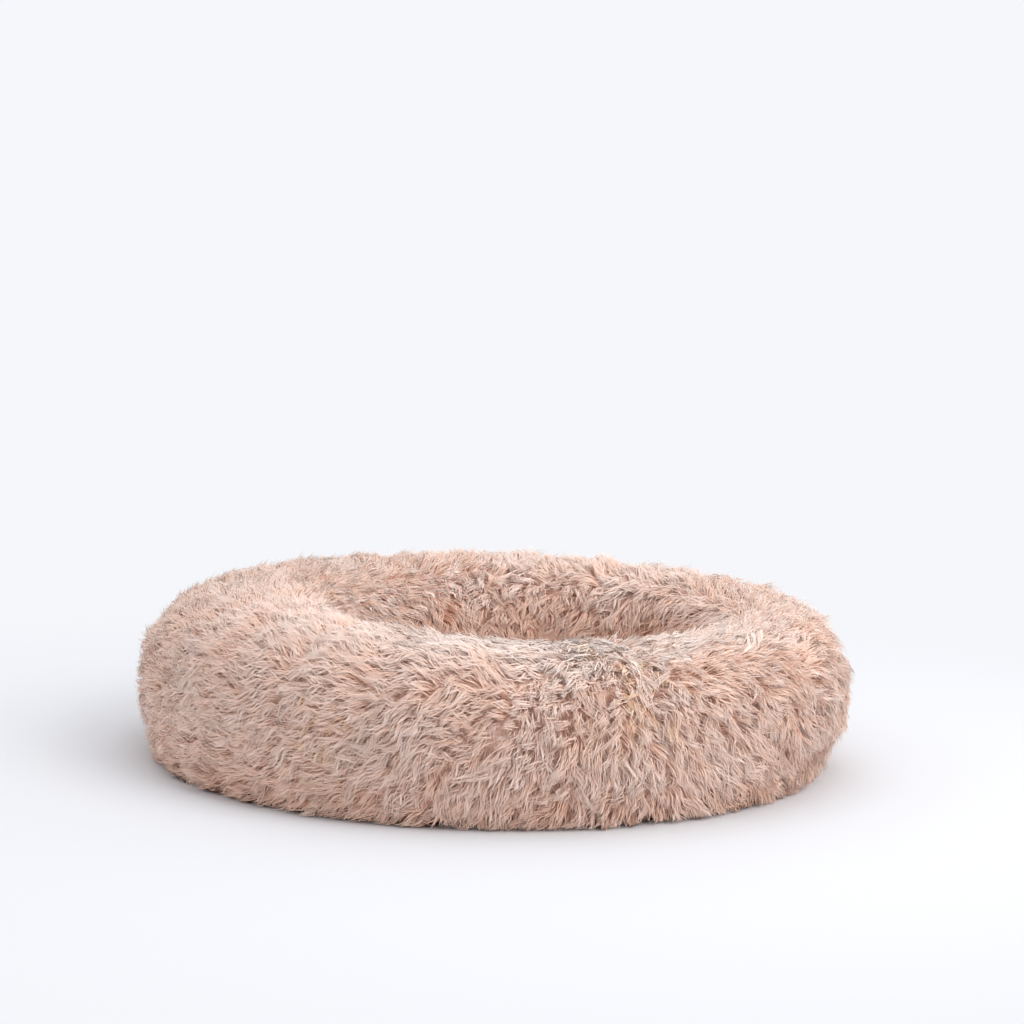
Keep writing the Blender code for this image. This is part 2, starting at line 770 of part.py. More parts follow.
def main():
    for obj in list(bpy.data.objects):
        bpy.data.objects.remove(obj)
    parts = collection_of("plush donut pet bed")
    helpers = collection_of("helper shapes")
    plush = finish_of("plush", (0.56, 0.40, 0.33), 0.95)
    nest = finish_of("nest plush", (0.58, 0.42, 0.35), 0.95)
    lining = finish_of("lining cloth", (0.80, 0.78, 0.74), 0.9)
    fibre = finish_of("fibre fill", (0.88, 0.88, 0.86), 1.0)
    base = finish_of("base cloth", (0.30, 0.25, 0.22), 0.85)
    tape = finish_of("zip tape", (0.42, 0.31, 0.25), 0.85)
    plastic = finish_of("zip teeth", (0.36, 0.26, 0.21), 0.45)
    metal = finish_of("zip metal", (0.55, 0.53, 0.50), 0.35, 1.0)
    plush_panels(parts, plush)
    nest_floor(parts, nest)
    stuffed_ring(parts, lining, fibre)
    nest_cushion(parts, lining, fibre)
    base_panel(parts, base)
    zip_fastener(parts, helpers, tape, plastic, metal)
    print("zip radius, metres:", round(ZIP_RADIUS, 5))


main()
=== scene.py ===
# %% [markdown]
# # A plush donut pet bed
#
# The bed is a stuffed ring round a padded nest. What the eye sees is almost all pile: long, soft
# locks of faux fur that lie one way on each sewn panel. This lesson grows that pile on the ring's
# six panels, then finishes the base cloth and the zip, and sets the camera and the lights.
#
# Everything is in metres with +Z up. The front of the bed faces -Y. Angles round the bed are
# counted from the front towards +X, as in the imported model.

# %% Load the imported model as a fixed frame
import math

import bmesh
import bpy
import numpy as np
from mathutils import Matrix, Vector


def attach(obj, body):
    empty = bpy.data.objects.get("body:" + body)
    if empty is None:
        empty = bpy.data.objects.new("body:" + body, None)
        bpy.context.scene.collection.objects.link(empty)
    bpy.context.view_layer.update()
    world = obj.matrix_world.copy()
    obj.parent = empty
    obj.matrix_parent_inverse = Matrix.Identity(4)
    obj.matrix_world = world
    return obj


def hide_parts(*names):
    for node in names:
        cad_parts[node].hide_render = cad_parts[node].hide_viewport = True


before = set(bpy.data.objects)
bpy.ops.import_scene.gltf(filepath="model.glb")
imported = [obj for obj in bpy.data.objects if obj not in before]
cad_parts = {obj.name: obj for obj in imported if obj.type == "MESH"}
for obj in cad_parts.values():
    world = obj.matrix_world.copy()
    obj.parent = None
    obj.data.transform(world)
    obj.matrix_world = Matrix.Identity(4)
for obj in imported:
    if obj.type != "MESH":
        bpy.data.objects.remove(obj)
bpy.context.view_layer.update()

# %% [markdown]
# ## The camera
#
# The bed was seen from a low seat in front of it, with a long lens. A long lens far away keeps the
# ring's far side nearly as large as its near side. The camera could be aimed by hand; here it is
# placed from its target and four numbers, so that it can be set again exactly.

# %% Aim the camera
CAMERA_DISTANCE = 2.081
CAMERA_PITCH = math.radians(6.5)
CAMERA_ROLL = math.radians(1.3)
CAMERA_TARGET = Vector((0.0154, 0.0, 0.211))
CAMERA_LENS = 84.6
SENSOR_WIDTH = 36


def linked(name, data):
    """A new object with this data, in the scene."""
    made = bpy.data.objects.new(name, data)
    bpy.context.scene.collection.objects.link(made)
    return made


eye = linked("eye", bpy.data.cameras.new("eye"))
eye.data.lens, eye.data.sensor_width = CAMERA_LENS, SENSOR_WIDTH
turn = Matrix.Rotation(math.radians(90) - CAMERA_PITCH, 4, "X") @ Matrix.Rotation(CAMERA_ROLL, 4, "Z")
back = Vector((0, -math.cos(CAMERA_PITCH), math.sin(CAMERA_PITCH))) * CAMERA_DISTANCE
eye.matrix_world = Matrix.Translation(CAMERA_TARGET + back) @ turn
bpy.context.scene.camera = eye
print("camera at", [round(v, 3) for v in eye.location])

# %% [markdown]
# ## Nodes written as sums
#
# Both the fur's growth and the materials are node trees. Placing each Math node by hand would
# bury the idea, so one small class stands for a node's output and turns ordinary arithmetic into
# nodes. Every other node comes from one function that takes its type, settings and inputs.


# %% A node's output that can be used in sums
def make_node(tree, kind, settings=None, values=None):
    """Adds a node, sets it up, then fills its inputs by name or place. Returns its outputs as wires."""
    node = tree.nodes.new(kind)
    for name, setting in (settings or {}).items():
        if name == "stops":
            for place, (position, colour) in enumerate(setting):
                ramp = node.color_ramp.elements
                stop = ramp[place] if place < 2 else ramp.new(position)
                stop.position, stop.color = position, (*colour, 1)
        else:
            setattr(node, name, setting)
    live = [socket for socket in node.inputs if socket.enabled]
    for key, value in (values or {}).items():
        socket = live[key] if isinstance(key, int) else next(s for s in live if s.name == key)
        if isinstance(value, Wire):
            tree.links.new(value.socket, socket)
        elif socket.type == "VECTOR" and isinstance(value, (int, float)):
            socket.default_value = (value, value, value)
        elif socket.type == "RGBA" and len(value) == 3:
            socket.default_value = (*value, 1)
        else:
            socket.default_value = value
    return {s.name: Wire(tree, s) for s in reversed(node.outputs) if s.enabled}


def summed(tree, operation, *values):
    """Adds a Math node on these values, or a Vector Math node where one of them is a vector."""
    vector = any(isinstance(value, Wire) and value.socket.type == "VECTOR" for value in values)
    kind = "ShaderNodeVectorMath" if vector else "ShaderNodeMath"
    made = make_node(tree, kind, {"operation": operation}, dict(enumerate(values)))
    return made.get("Value") or made["Vector"]


class Wire:
    """One output of a node. Sums on it add the nodes that work them out."""

    def __init__(self, tree, socket):
        self.tree = tree
        self.socket = socket

    def math(self, operation, *others):
        return summed(self.tree, operation, self, *others)

    def __add__(self, other):
        return self.math("ADD", other)

    def __sub__(self, other):
        return self.math("SUBTRACT", other)

    def __rsub__(self, other):
        return summed(self.tree, "SUBTRACT", other, self)

    def __mul__(self, other):
        return self.math("MULTIPLY", other)

    def __pow__(self, other):
        return self.math("POWER", other)

    __radd__ = __add__
    __rmul__ = __mul__

    def unit(self):
        return self.math("NORMALIZE")

    def cross(self, other):
        return self.math("CROSS_PRODUCT", other)

    def parts(self):
        made = make_node(self.tree, "ShaderNodeSeparateXYZ", None, {0: self})
        return made["X"], made["Y"], made["Z"]


def ramped(value, low, high, to_low=0.0, to_high=1.0):
    """value moved smoothly from the range low to high onto another."""
    settings = {"interpolation_type": "SMOOTHSTEP"}
    ends = {"Value": value, "From Min": low, "From Max": high, "To Min": to_low, "To Max": to_high}
    return make_node(value.tree, "ShaderNodeMapRange", settings, ends)["Result"]


def joined_vector(tree, x, y, z):
    return make_node(tree, "ShaderNodeCombineXYZ", None, {0: x, 1: y, 2: z})["Vector"]


# %% [markdown]
# ## The ring's shape
#
# The ring is a superellipse in section, swept round the bed. Its outer edge is a little oval, its
# crest is highest at the back left, and the nest is a true circle that sits off centre, so the
# section is wide on the left and narrow on the right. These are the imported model's own rules,
# written for whole arrays of points.

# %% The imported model's sizes
OUTER_RADIUS = 0.300
OVAL_SHARE, OVAL_ANGLE = 0.0233, math.radians(58.6)
SQUARE_SHARE, SQUARE_ANGLE = 0.0123, math.radians(-14.7)
BED_HEIGHT = 0.141
HEIGHT_SWING, LOWEST_ANGLE = 0.0045, math.radians(30)
BELLY_HEIGHT = 0.062
UPPER_POWER, LOWER_POWER = 2.3, 2.6
FOOT_INSET = 0.063
NEST_FOOT_REACH = 0.030
WELL_RADIUS = 0.145
WELL_SHIFT = 0.040
CORE_INSET = 0.0158
RING_FLOOR = 0.0023
NEST_SEAM_HEIGHT = 0.030
NEST_CROWN = 0.008
BASE_RADIUS = 0.2767
ZIP_TOP = 0.0249
SEAM_ANGLES = [math.radians(-33 + 60 * number) for number in range(7)]
NOTCH_HALF_ANGLE = math.radians(45.9)
NOTCH_RAMP_ANGLE = math.radians(2.4)
print("panels:", len(SEAM_ANGLES) - 1)


# %% Soft steps and bumps
def smooth(share):
    share = np.clip(share, 0, 1)
    return share * share * (3 - 2 * share)


def rising(angle, start, width):
    """0 up to a start and 1 past this width, both in degrees, for angles in radians."""
    return smooth((angle - math.radians(start)) / math.radians(width))


def bump(distance, width):
    """1 at no distance, falling off softly over this width."""
    return np.exp(-((distance / width) ** 2))


print("soft step at a quarter, half and three quarters:", smooth(np.array([0.25, 0.5, 0.75])))


# %% The section, as a rule for arrays of points
def rounded(value, power):
    return np.sign(value) * np.abs(value) ** (2 / power)


def bulge(theta):
    oval = OVAL_SHARE * np.cos(2 * (theta - OVAL_ANGLE))
    square = SQUARE_SHARE * np.cos(4 * (theta - SQUARE_ANGLE))
    return OUTER_RADIUS * (oval + square)


def well_edge(theta):
    across = WELL_SHIFT * np.cos(theta)
    return WELL_SHIFT * np.sin(theta) + np.sqrt(WELL_RADIUS**2 - across**2)


def section(theta, turn, inset, power=LOWER_POWER):
    """Radius and height on the ring, for arrays of angles round the bed and turns over the ring."""
    round_outer = OUTER_RADIUS - inset
    inner = well_edge(theta) + inset
    crest = (round_outer + bulge(theta) + inner) / 2
    top = BED_HEIGHT - HEIGHT_SWING * np.cos(theta - LOWEST_ANGLE)
    cosine, sine = np.cos(turn), np.sin(turn)
    rise = top - inset - BELLY_HEIGHT
    upper_radius = crest + (crest - inner) * rounded(cosine, UPPER_POWER)
    upper_height = BELLY_HEIGHT + rise * rounded(sine, UPPER_POWER)
    drop = BELLY_HEIGHT - (RING_FLOOR + inset - CORE_INSET)
    lower_height = BELLY_HEIGHT + drop * rounded(sine, power)
    foot = OUTER_RADIUS - FOOT_INSET
    lift = smooth((lower_height - ZIP_TOP) / (BELLY_HEIGHT - ZIP_TOP))
    outside = foot + (round_outer - foot) * rounded(cosine, power) + bulge(theta) * lift
    inside = inner + NEST_FOOT_REACH * (1 + rounded(cosine, power))
    lower_radius = np.where(cosine > 0, outside, inside)
    above = sine >= 0
    return np.where(above, upper_radius, lower_radius), np.where(above, upper_height, lower_height)


def turn_at(height, inset):
    """How far below the belly, as a turn over the ring, its lower half comes down to this height."""
    share = (BELLY_HEIGHT - height) / (BELLY_HEIGHT - (RING_FLOOR + inset - CORE_INSET))
    return np.arcsin(np.clip(share, 0, 1) ** (LOWER_POWER / 2))


def notch(theta):
    """1 over the zip at the back, 0 elsewhere."""
    from_back = np.abs((theta % math.tau) - math.pi)
    return 1 - smooth((from_back - NOTCH_HALF_ANGLE) / NOTCH_RAMP_ANGLE)


print("ring crest, front and back:", section(np.array([0.0, math.pi]), np.full(2, math.pi / 2), 0)[1])

# %% [markdown]
# ## The lie of the pile
#
# Real faux fur has a direction that comes from the loom and from handling. On this bed it changes
# from panel to panel: it is brushed level on the left, slants down to the left in front, hangs
# outwards on the right, and falls into the nest on the inside. It could be painted by hand. Here a
# few angles are written down round the ring and blended, and slow waves of noise turn them a
# little, which makes the whorls.

# %% A repeatable noise for arrays of points
generator = np.random.default_rng(7)
WAVES = 28
wave_directions = generator.normal(size=(WAVES, 3))
wave_directions /= np.linalg.norm(wave_directions, axis=1)[:, None]
wave_phases = generator.uniform(0, math.tau, (8, WAVES))


def slow_noise(points, length, layer):
    """A sum of waves of about this length, between about -1 and 1."""
    stretch = np.linspace(0.7, 1.5, WAVES)
    angles = points @ (wave_directions * stretch[:, None]).T * (math.tau / length)
    return np.sin(angles + wave_phases[layer]).sum(axis=1) / math.sqrt(WAVES / 2) / 1.6


print("waves in a layer of noise:", WAVES)


# %% Angles of the lie, round the ring
# Each row, in degrees: angle round the bed, and the lie on the wall and on the crest. A lie of 0
# hangs straight down the outside, and positive ones turn towards larger angles round the bed.
LIE_START = math.radians(-120)
LIE_ROUND = np.radians(
    [
        (-120, -70, -95),
        (-80, -80, -95),
        (-45, -78, -100),
        (-28, -62, -95),
        (-5, -50, -92),
        (8, -45, -82),
        (18, -25, -50),
        (26, 5, 5),
        (36, 20, 55),
        (50, 26, 78),
        (62, 18, 65),
        (78, 6, 45),
        (95, 15, 40),
        (130, 45, 50),
        (165, 20, 20),
        (200, -30, -40),
        (240, -70, -95),
    ]
)
LIE_WAVES = ((0.30, 0.11, 0), (0.40, 0.045, 1), (0.18, 0.020, 6))  # depth, length and layer of noise
# Each place: an angle round the bed and its width, a turn over the ring and, in radians, its width.
MESS = (20, 18, 33, 0.45)
WHORL = (19, 9, 100, 0.35)
FRONT_CREST = (16, 32, 90, 0.55)
# Each patch of tinted locks: x and its width, height and its width.
GOLD_PATCHES = ((0.114, 0.016, 0.092, 0.022), (-0.118, 0.014, 0.055, 0.028))
PILE_REACH, PILE_LIFT = 0.0175, 0.0102
ZIP_CLEARANCE = 0.0195
print("rows of the lie:", len(LIE_ROUND))


# %% The rules of the pile
def lie_of(theta, column):
    round_bed = (theta - LIE_START) % math.tau + LIE_START
    return np.interp(round_bed, LIE_ROUND[:, 0], LIE_ROUND[:, column])


def spot(theta, turn, around, width, over, height):
    """1 at a place on the ring, falling off softly round it."""
    return bump(theta - math.radians(around), math.radians(width)) * bump(turn - math.radians(over), height)


def comb_of(theta, turn, points, east, north, strength):
    """The direction in which the pile is combed: as the lie says outside, and down into the nest."""
    on_crest, inside = rising(turn, 35, 40), rising(turn, 95, 45)[:, None]
    lie = lie_of(theta, 1) * (1 - on_crest) + lie_of(theta, 2) * on_crest
    for depth, length, layer in LIE_WAVES:
        lie = lie + depth * slow_noise(points, length, layer)
    down = -north * np.cos(lie)[:, None] + east * np.sin(lie)[:, None]
    into_nest = north + east * (0.35 * slow_noise(points, 0.06, 2))[:, None]
    comb = down * (1 - inside) + into_nest * inside
    return comb / (np.linalg.norm(comb, axis=1)[:, None] + 1e-6) * strength[:, None]


def pile_rules(theta, turn, points, up, east, north):
    """The comb direction, length and other facts of the pile at each point of a panel's skin."""
    whorl, front_crest = (spot(theta, turn, *place) for place in (WHORL, FRONT_CREST))
    mess = spot(theta, turn, *MESS) + 0.5 * whorl
    strength = 0.92 - 0.12 * mess - 0.12 * whorl + 0.15 * slow_noise(points, 0.025, 7)
    seam = np.min([np.abs(theta - angle) for angle in SEAM_ANGLES], axis=0) * OUTER_RADIUS
    reach = PILE_REACH + 0.0030 * slow_noise(points, 0.05, 3) - 0.002 * mess
    reach = reach * (1 + 0.35 * front_crest) * (1 - 0.3 * notch(theta) * bump(turn + 0.9, 0.5))
    lift = PILE_LIFT + 0.0020 * slow_noise(points, 0.035, 4) - 0.003 * bump(seam, 0.008)
    # Painted shade: the tone darkens down the nest's inner wall, more on the right.
    hollow = rising(turn, 115, 45) * (0.20 + 0.14 * np.sin(theta))
    # Painted shade: the tone darkens towards the floor at the ring's foot.
    foot = 0.24 * rising(-turn, 8, 40)
    # A slowly wandering base tone, with painted light: paler over the top of the ring.
    tone = 0.38 + 0.08 * slow_noise(points, 0.08, 5) + 0.10 * rising(turn, 35, 40)
    cover = (1 + 0.5 * mess + 0.6 * whorl) * (0.4 + 0.6 * rising(turn, -62, 20))
    x, y, z = points.T
    gold = sum(0.8 * bump(x - a, wide) * bump(z - b, high) for a, wide, b, high in GOLD_PATCHES)
    return {
        "comb": comb_of(theta, turn, points, east, north, strength),
        "up": up,
        "reach": reach,
        "lift": lift - 0.0045 * front_crest,
        "mess": mess,
        "cover": cover * (1 - 0.7 * rising(turn, 205, 15)),
        # Painted light and sheen: the front crest's tone is much paler.
        "tone": tone - hollow - foot + 0.46 * front_crest,
        "gold": gold * (0.8 + 0.5 * slow_noise(points, 0.02, 5)) * (y < 0),
        "floor": np.minimum(ZIP_CLEARANCE, 0.024 * notch(theta)),
    }


print("lie at the front, degrees:", math.degrees(lie_of(np.array([0.0]), 1)[0]))

# %% [markdown]
# ## The skin under the pile
#
# The locks need a surface to grow on: the cloth backing of each panel. It is a grid of points laid
# on the section rule, a little inside the pile's surface, drawn in where two panels are sewn.

# %% Lay one panel's skin
SKIN_INSET = 0.0108
SKIN_FOOT_RAISE = 0.004
SKIN_COLUMNS = 34
SKIN_ROWS = 52
SKIN_THICKNESS = 0.0016
SEAM_GAP = 0.0004
SEAM_TUCK, SEAM_WIDTH = 0.0028, 0.012
GATHER_DEPTH, GATHERS = 0.003, 2
SLOPE_STEP = 1e-3


def skin_points(theta, turn, first, last):
    from_seam = np.minimum(theta - first, last - theta) * OUTER_RADIUS
    tuck = SEAM_TUCK * bump(from_seam, SEAM_WIDTH) * rising(turn, -90, 90)
    across = (theta - first) / (last - first)
    gather = GATHER_DEPTH * (0.5 - 0.5 * np.cos(math.tau * GATHERS * (across + 0.5)))
    inset = SKIN_INSET + np.maximum(tuck, gather * rising(turn, 90, 60))
    radius, height = section(theta, turn, inset - SKIN_FOOT_RAISE * rising(-turn, 20, 35))
    return np.stack([radius * np.sin(theta), -radius * np.cos(theta), height], axis=1)


def even_grid(low, high, columns, rows):
    """The two coordinates of a grid that is even both ways, row by row."""
    across, along = np.meshgrid(np.linspace(low, high, columns), np.linspace(low, high, rows))
    return across.ravel(), along.ravel()


def grid_mesh(name, points, columns, rows, facts):
    """An open mesh of quads over a grid of points that is stored row by row, with facts at the points."""
    corner = (np.arange(rows - 1)[:, None] * columns + np.arange(columns - 1)[None, :]).ravel()
    quads = np.stack([corner, corner + 1, corner + columns + 1, corner + columns], axis=1)
    mesh = bpy.data.meshes.new(name)
    mesh.from_pydata(points.tolist(), [], quads.tolist())
    mesh.update()
    for fact, values in facts.items():
        kind, field = ("FLOAT", "value") if values.ndim == 1 else ("FLOAT_VECTOR", "vector")
        made = mesh.attributes.new(fact, kind, "POINT")
        made.data.foreach_set(field, values.astype(np.float32).ravel())
    return mesh


def unit(vectors):
    return vectors / (np.linalg.norm(vectors, axis=1)[:, None] + 1e-9)


def panel_skin(name, first, last):
    across, along = even_grid(0, 1, SKIN_COLUMNS, SKIN_ROWS)
    gap = SEAM_GAP / OUTER_RADIUS
    theta = first + gap + (last - first - 2 * gap) * across
    edge = RING_FLOOR + (ZIP_TOP - RING_FLOOR) * notch(theta)
    start = -turn_at(edge, SKIN_INSET - SKIN_FOOT_RAISE)
    end = math.pi + turn_at(NEST_SEAM_HEIGHT, SKIN_INSET)
    turn = start + (end - start) * along

    def moved(round_bed, over_ring):
        return skin_points(theta + round_bed, turn + over_ring, first, last)

    points, step = moved(0, 0), SLOPE_STEP
    east = unit(moved(step, 0) - moved(-step, 0))
    north = unit(moved(0, step) - moved(0, -step))
    up = unit(np.cross(east, north))
    facts = pile_rules(theta, turn, points, up, east, north)
    return grid_mesh(name, points, SKIN_COLUMNS, SKIN_ROWS, facts)


print("points in a panel's skin:", SKIN_COLUMNS * SKIN_ROWS)


# %% [markdown]
# ## Growing the pile
#
# A hair system would look right but can't be exported, so every lock is a real, thin, tapered
# solid. Faux fur doesn't stand as single hairs: its fibres cling together in tufts a few
# millimetres wide, each with a soft curl and a pointed tip. So Geometry Nodes scatter tuft centres
# evenly over the skin and put one full, curved body on each, then scatter fine strands that copy
# the curve of their nearest tuft and draw in towards its tip. The floor pushes up what would go
# through it. Sticks this thin would glitter if each were shaded as a round one, so their normals
# lean towards the skin's own.

# %% Nodes that every geometry tree uses
VECTOR = "FLOAT_VECTOR"


def geometry_node(tree, kind, settings=None, **inputs):
    """Adds a node and returns its first output. An input's name is written with _ for each space."""
    values = {name.replace("_", " "): value for name, value in inputs.items()}
    *_, first = make_node(tree, "GeometryNode" + kind, settings, values).values()
    return first


def new_tree(name, guide, sizes, result):
    """A tree that makes its result from a guide, these sizes and a finish, and its inputs as wires."""
    tree = bpy.data.node_groups.new(name, "GeometryNodeTree")
    face = tree.interface
    face.new_socket(guide, in_out="INPUT", socket_type="NodeSocketGeometry")
    for size, value in sizes.items():
        face.new_socket(size, in_out="INPUT", socket_type="NodeSocketFloat").default_value = value
    face.new_socket("Finish", in_out="INPUT", socket_type="NodeSocketMaterial")
    face.new_socket(result, in_out="OUTPUT", socket_type="NodeSocketGeometry")
    return tree, make_node(tree, "NodeGroupInput")


def attribute(tree, name, kind="FLOAT"):
    made = make_node(tree, "GeometryNodeInputNamedAttribute", {"data_type": kind}, {"Name": name})
    return made["Attribute"]


def keep(geometry, name, value, kind="FLOAT", domain="POINT"):
    settings = {"data_type": kind, "domain": domain}
    inputs = {"Geometry": geometry, "Name": name, "Value": value}
    return geometry_node(geometry.tree, "StoreNamedAttribute", settings, **inputs)


def chance(tree, seed, low=0.0, high=1.0):
    values = {"Min": low, "Max": high, "Seed": seed}
    return make_node(tree, "FunctionNodeRandomValue", {"data_type": "FLOAT"}, values)["Value"]


def joined_geometry(tree, pieces):
    whole = geometry_node(tree, "JoinGeometry")
    for piece in pieces:
        tree.links.new(piece.socket, whole.socket.node.inputs[0])
    return whole


def skin_normal(tree):
    return make_node(tree, "GeometryNodeInputNormal")["Normal"]


# %% Where tufts and strands grow
TUFT_VECTORS = ("comb", "root", "root_up")
TUFT_VALUES = ("reach", "lift", "mess", "tone", "gold", "floor")
TUFT_LUCK = ("luck_a", "luck_b", "luck_c", "luck_d", "luck_e")
TUFT_LUCK_SEED = 20
STRAND_SEED_STEP = 50.0
STRAND_LUCK = {  # the seed, the lowest and the highest of each
    "stretch": (31, 0.70, 1.15),
    "stray": (32, -1.0, 1.0),
    "height": (34, 0.85, 1.2),
    "shade": (33, -1.0, 1.0),
}
print("facts of a tuft that its strands copy:", len(TUFT_VECTORS + TUFT_VALUES + TUFT_LUCK))


def on_outside(tree):
    facing = skin_normal(tree).math("DOT_PRODUCT", attribute(tree, "up", VECTOR))
    return facing.math("GREATER_THAN", 0.5)


def tuft_centres(tree, given, place):
    """Evenly spaced points on the outside of the skin. Each holds the facts of one tuft."""
    few = {
        "Mesh": given["Skin"],
        "Distance Min": given["Tuft spacing"],
        "Density Max": given["Tufts per area"],
        "Density Factor": on_outside(tree),
        "Seed": given["Seed"],
    }
    even = {"distribute_method": "POISSON"}
    made = make_node(tree, "GeometryNodeDistributePointsOnFaces", even, few)
    points = keep(made["Points"], "root", place, VECTOR)
    points = keep(points, "root_up", made["Normal"], VECTOR)
    for number, name in enumerate(TUFT_LUCK):
        points = keep(points, name, chance(tree, TUFT_LUCK_SEED + number))
    return points


def strand_roots(tree, given, place, centres):
    """Roots over the outside of the skin, each with a copy of the facts of its nearest tuft."""
    density = given["Strands per area"] * on_outside(tree) * attribute(tree, "cover")
    seed = given["Seed"] + STRAND_SEED_STEP
    points = geometry_node(tree, "DistributePointsOnFaces", Mesh=given["Skin"], Density=density, Seed=seed)
    wobble = make_node(tree, "ShaderNodeTexNoise", None, {"Vector": place, "Scale": 240.0})["Color"]
    shaken = place + (wobble - 0.5) * given["Raggedness"]
    index = geometry_node(tree, "SampleNearest", Geometry=centres, Sample_Position=shaken)
    points = keep(points, "strand_root", place, VECTOR)
    for names, kind in ((TUFT_VECTORS, VECTOR), (TUFT_VALUES + TUFT_LUCK, "FLOAT")):
        for name in names:
            picked = {"Geometry": centres, "Value": attribute(tree, name, kind), "Index": index}
            value = geometry_node(tree, "SampleIndex", {"data_type": kind}, **picked)
            points = keep(points, name, value, kind)
    offset = attribute(tree, "strand_root", VECTOR) - attribute(tree, "root", VECTOR)
    points = keep(points, "offset", offset, VECTOR)
    points = keep(points, "girth", given["Strand girth"] * chance(tree, 30, 0.6, 1.3))
    for name, (seed, low, high) in STRAND_LUCK.items():
        points = keep(points, name, chance(tree, seed, low, high))
    return points


# %% The shape of a lock
SIDE_TURNS, RISE_TURNS = 5.5, 4.5  # how fast a lock waves to the sides and up, along its length
SWEEP_POWER = 1.3
FLATNESS = 0.8
OUTWARD_LEAN = 0.6


def straight_lock(tree, place, sides, segments):
    """A thin closed cone. Each of its points remembers how far along and on which side it is."""
    size = {"Radius_Top": 0.0, "Radius_Bottom": 1.0, "Depth": 1.0}
    parts = {"Vertices": sides, "Side_Segments": segments, "Fill_Segments": 1}
    cone = geometry_node(tree, "MeshCone", {"fill_type": "NGON"}, **parts, **size)
    x, y, z = place.parts()
    cone = keep(cone, "t", z)
    return keep(cone, "side", joined_vector(tree, x, y, 0.0).unit(), VECTOR)


def wave(along, rate, phase, depth):
    """A wave along a lock that starts at no height."""
    return ((along * rate + phase).math("SINE") - phase.math("SINE")) * depth


def bent_place(tree, given):
    """Where a point of a lock goes, on its tuft's curve and out by the lock's radius, and its normal."""
    t, stray, mess = (attribute(tree, name) for name in ("t", "stray", "mess"))
    up, comb, root, offset, side_of = (
        attribute(tree, name, VECTOR) for name in ("root_up", "comb", "root", "offset", "side")
    )
    luck_a, luck_b, luck_c, luck_d, luck_e = (attribute(tree, name) for name in TUFT_LUCK)
    sideways = up.cross(comb + up.cross(joined_vector(tree, 0.01, 0.02, 0.03))).unit()
    comb = comb + sideways * ((luck_a - 0.5) * (given["Scatter"] + mess * 0.7))
    along = t * attribute(tree, "stretch")
    length = attribute(tree, "reach") * (0.75 + luck_b * 0.5)
    rise = attribute(tree, "lift") * (0.82 + luck_c * 0.36) * attribute(tree, "height")
    curl = given["Curl"] * (0.4 + luck_e * 1.2)
    phase = luck_d * math.tau + stray * 0.9
    aside = sideways * wave(along, SIDE_TURNS, phase, curl)
    climb = rise * (along * (2.0 - along)) + wave(along, RISE_TURNS, phase * 1.7, curl) * 0.6
    spread = offset * (1.0 - given["Gather"] * (along**SWEEP_POWER))
    loose = (sideways * stray + up * (attribute(tree, "shade") * 0.5)) * (along * along * given["Fluff"])
    line = up * climb + comb * (length * along**SWEEP_POWER) + aside + spread + loose
    heading = up * (rise * (2.0 - along * 2.0)) + comb * (length * SWEEP_POWER * (along**0.3))
    outward = heading.cross(sideways).unit()
    x, y, _ = side_of.parts()
    radius = attribute(tree, "girth") * ((1.0 - t * t) * (0.55 + t * 1.8))
    px, py, pz = (root + line + (sideways * x + outward * y * FLATNESS) * radius).parts()
    ground = ramped((px * px + py * py).math("SQRT"), BASE_RADIUS, BASE_RADIUS + 0.005, 0.0032, 0.0006)
    ground = ground.math("MAXIMUM", attribute(tree, "floor")) + luck_b * 0.0012 + y * radius * FLATNESS
    softness = given["Softness"] * ramped(y, -1.0, 0.2)
    root_x, root_y, _ = root.parts()
    facing = up + joined_vector(tree, root_x, root_y, 0.0) * OUTWARD_LEAN
    normal = (sideways * x + outward * y) * (1.0 - softness) + facing * softness
    height = pz.math("MAXIMUM", ground.math("MAXIMUM", 0.0002))
    return joined_vector(tree, px, py, height), normal.unit()


# %% The tree that grows the pile
PILE_SIZES = {
    "Tufts per area": 60000.0,
    "Tuft spacing": 0.0050,
    "Tuft girth": 0.0015,
    "Strands per area": 296000.0,
    "Strand girth": 0.00047,
    "Raggedness": 0.005,
    "Gather": 0.42,
    "Softness": 0.88,
    "Scatter": 1.0,
    "Curl": 0.0027,
    "Fluff": 0.0055,
    "Seed": 0.0,
}
TUFT_SIDES, TUFT_SEGMENTS = 4, 4
STRAND_SIDES, STRAND_SEGMENTS = 3, 2


def tinted(tree, locks, skin):
    """Gives locks and skin the numbers that their colour hangs on, and joins them."""
    luck_c, luck_e, shade = (attribute(tree, name) for name in ("luck_c", "luck_e", "shade"))
    side_x, side_y, _ = attribute(tree, "side", VECTOR).parts()
    uneven = (luck_e - 0.5) * 0.26 + shade * 0.07
    # Painted shade and light: a lock is darker on its underside and paler on its upper side.
    tone = attribute(tree, "tone") + uneven + side_y * 0.14
    locks = keep(locks, "lock_tone", ramped(tone, 0.0, 1.0))
    locks = keep(locks, "lock_gold", attribute(tree, "gold").math("GREATER_THAN", luck_c))
    skin = keep(skin, "lock_tone", attribute(tree, "tone"))
    skin = keep(skin, "t", 0.5)
    skin = keep(skin, "soft_normal", skin_normal(tree), VECTOR)
    whole = joined_geometry(tree, [locks, skin])
    t, gold = attribute(tree, "t"), attribute(tree, "lock_gold")
    column = attribute(tree, "lock_tone") * (0.72 - gold * 0.50) + gold * 0.76 + 0.01
    chart = joined_vector(tree, column + side_x * 0.002, 0.01 + t * 0.97, 0.0)
    return keep(whole, "OFBake", chart, "FLOAT2", "CORNER")


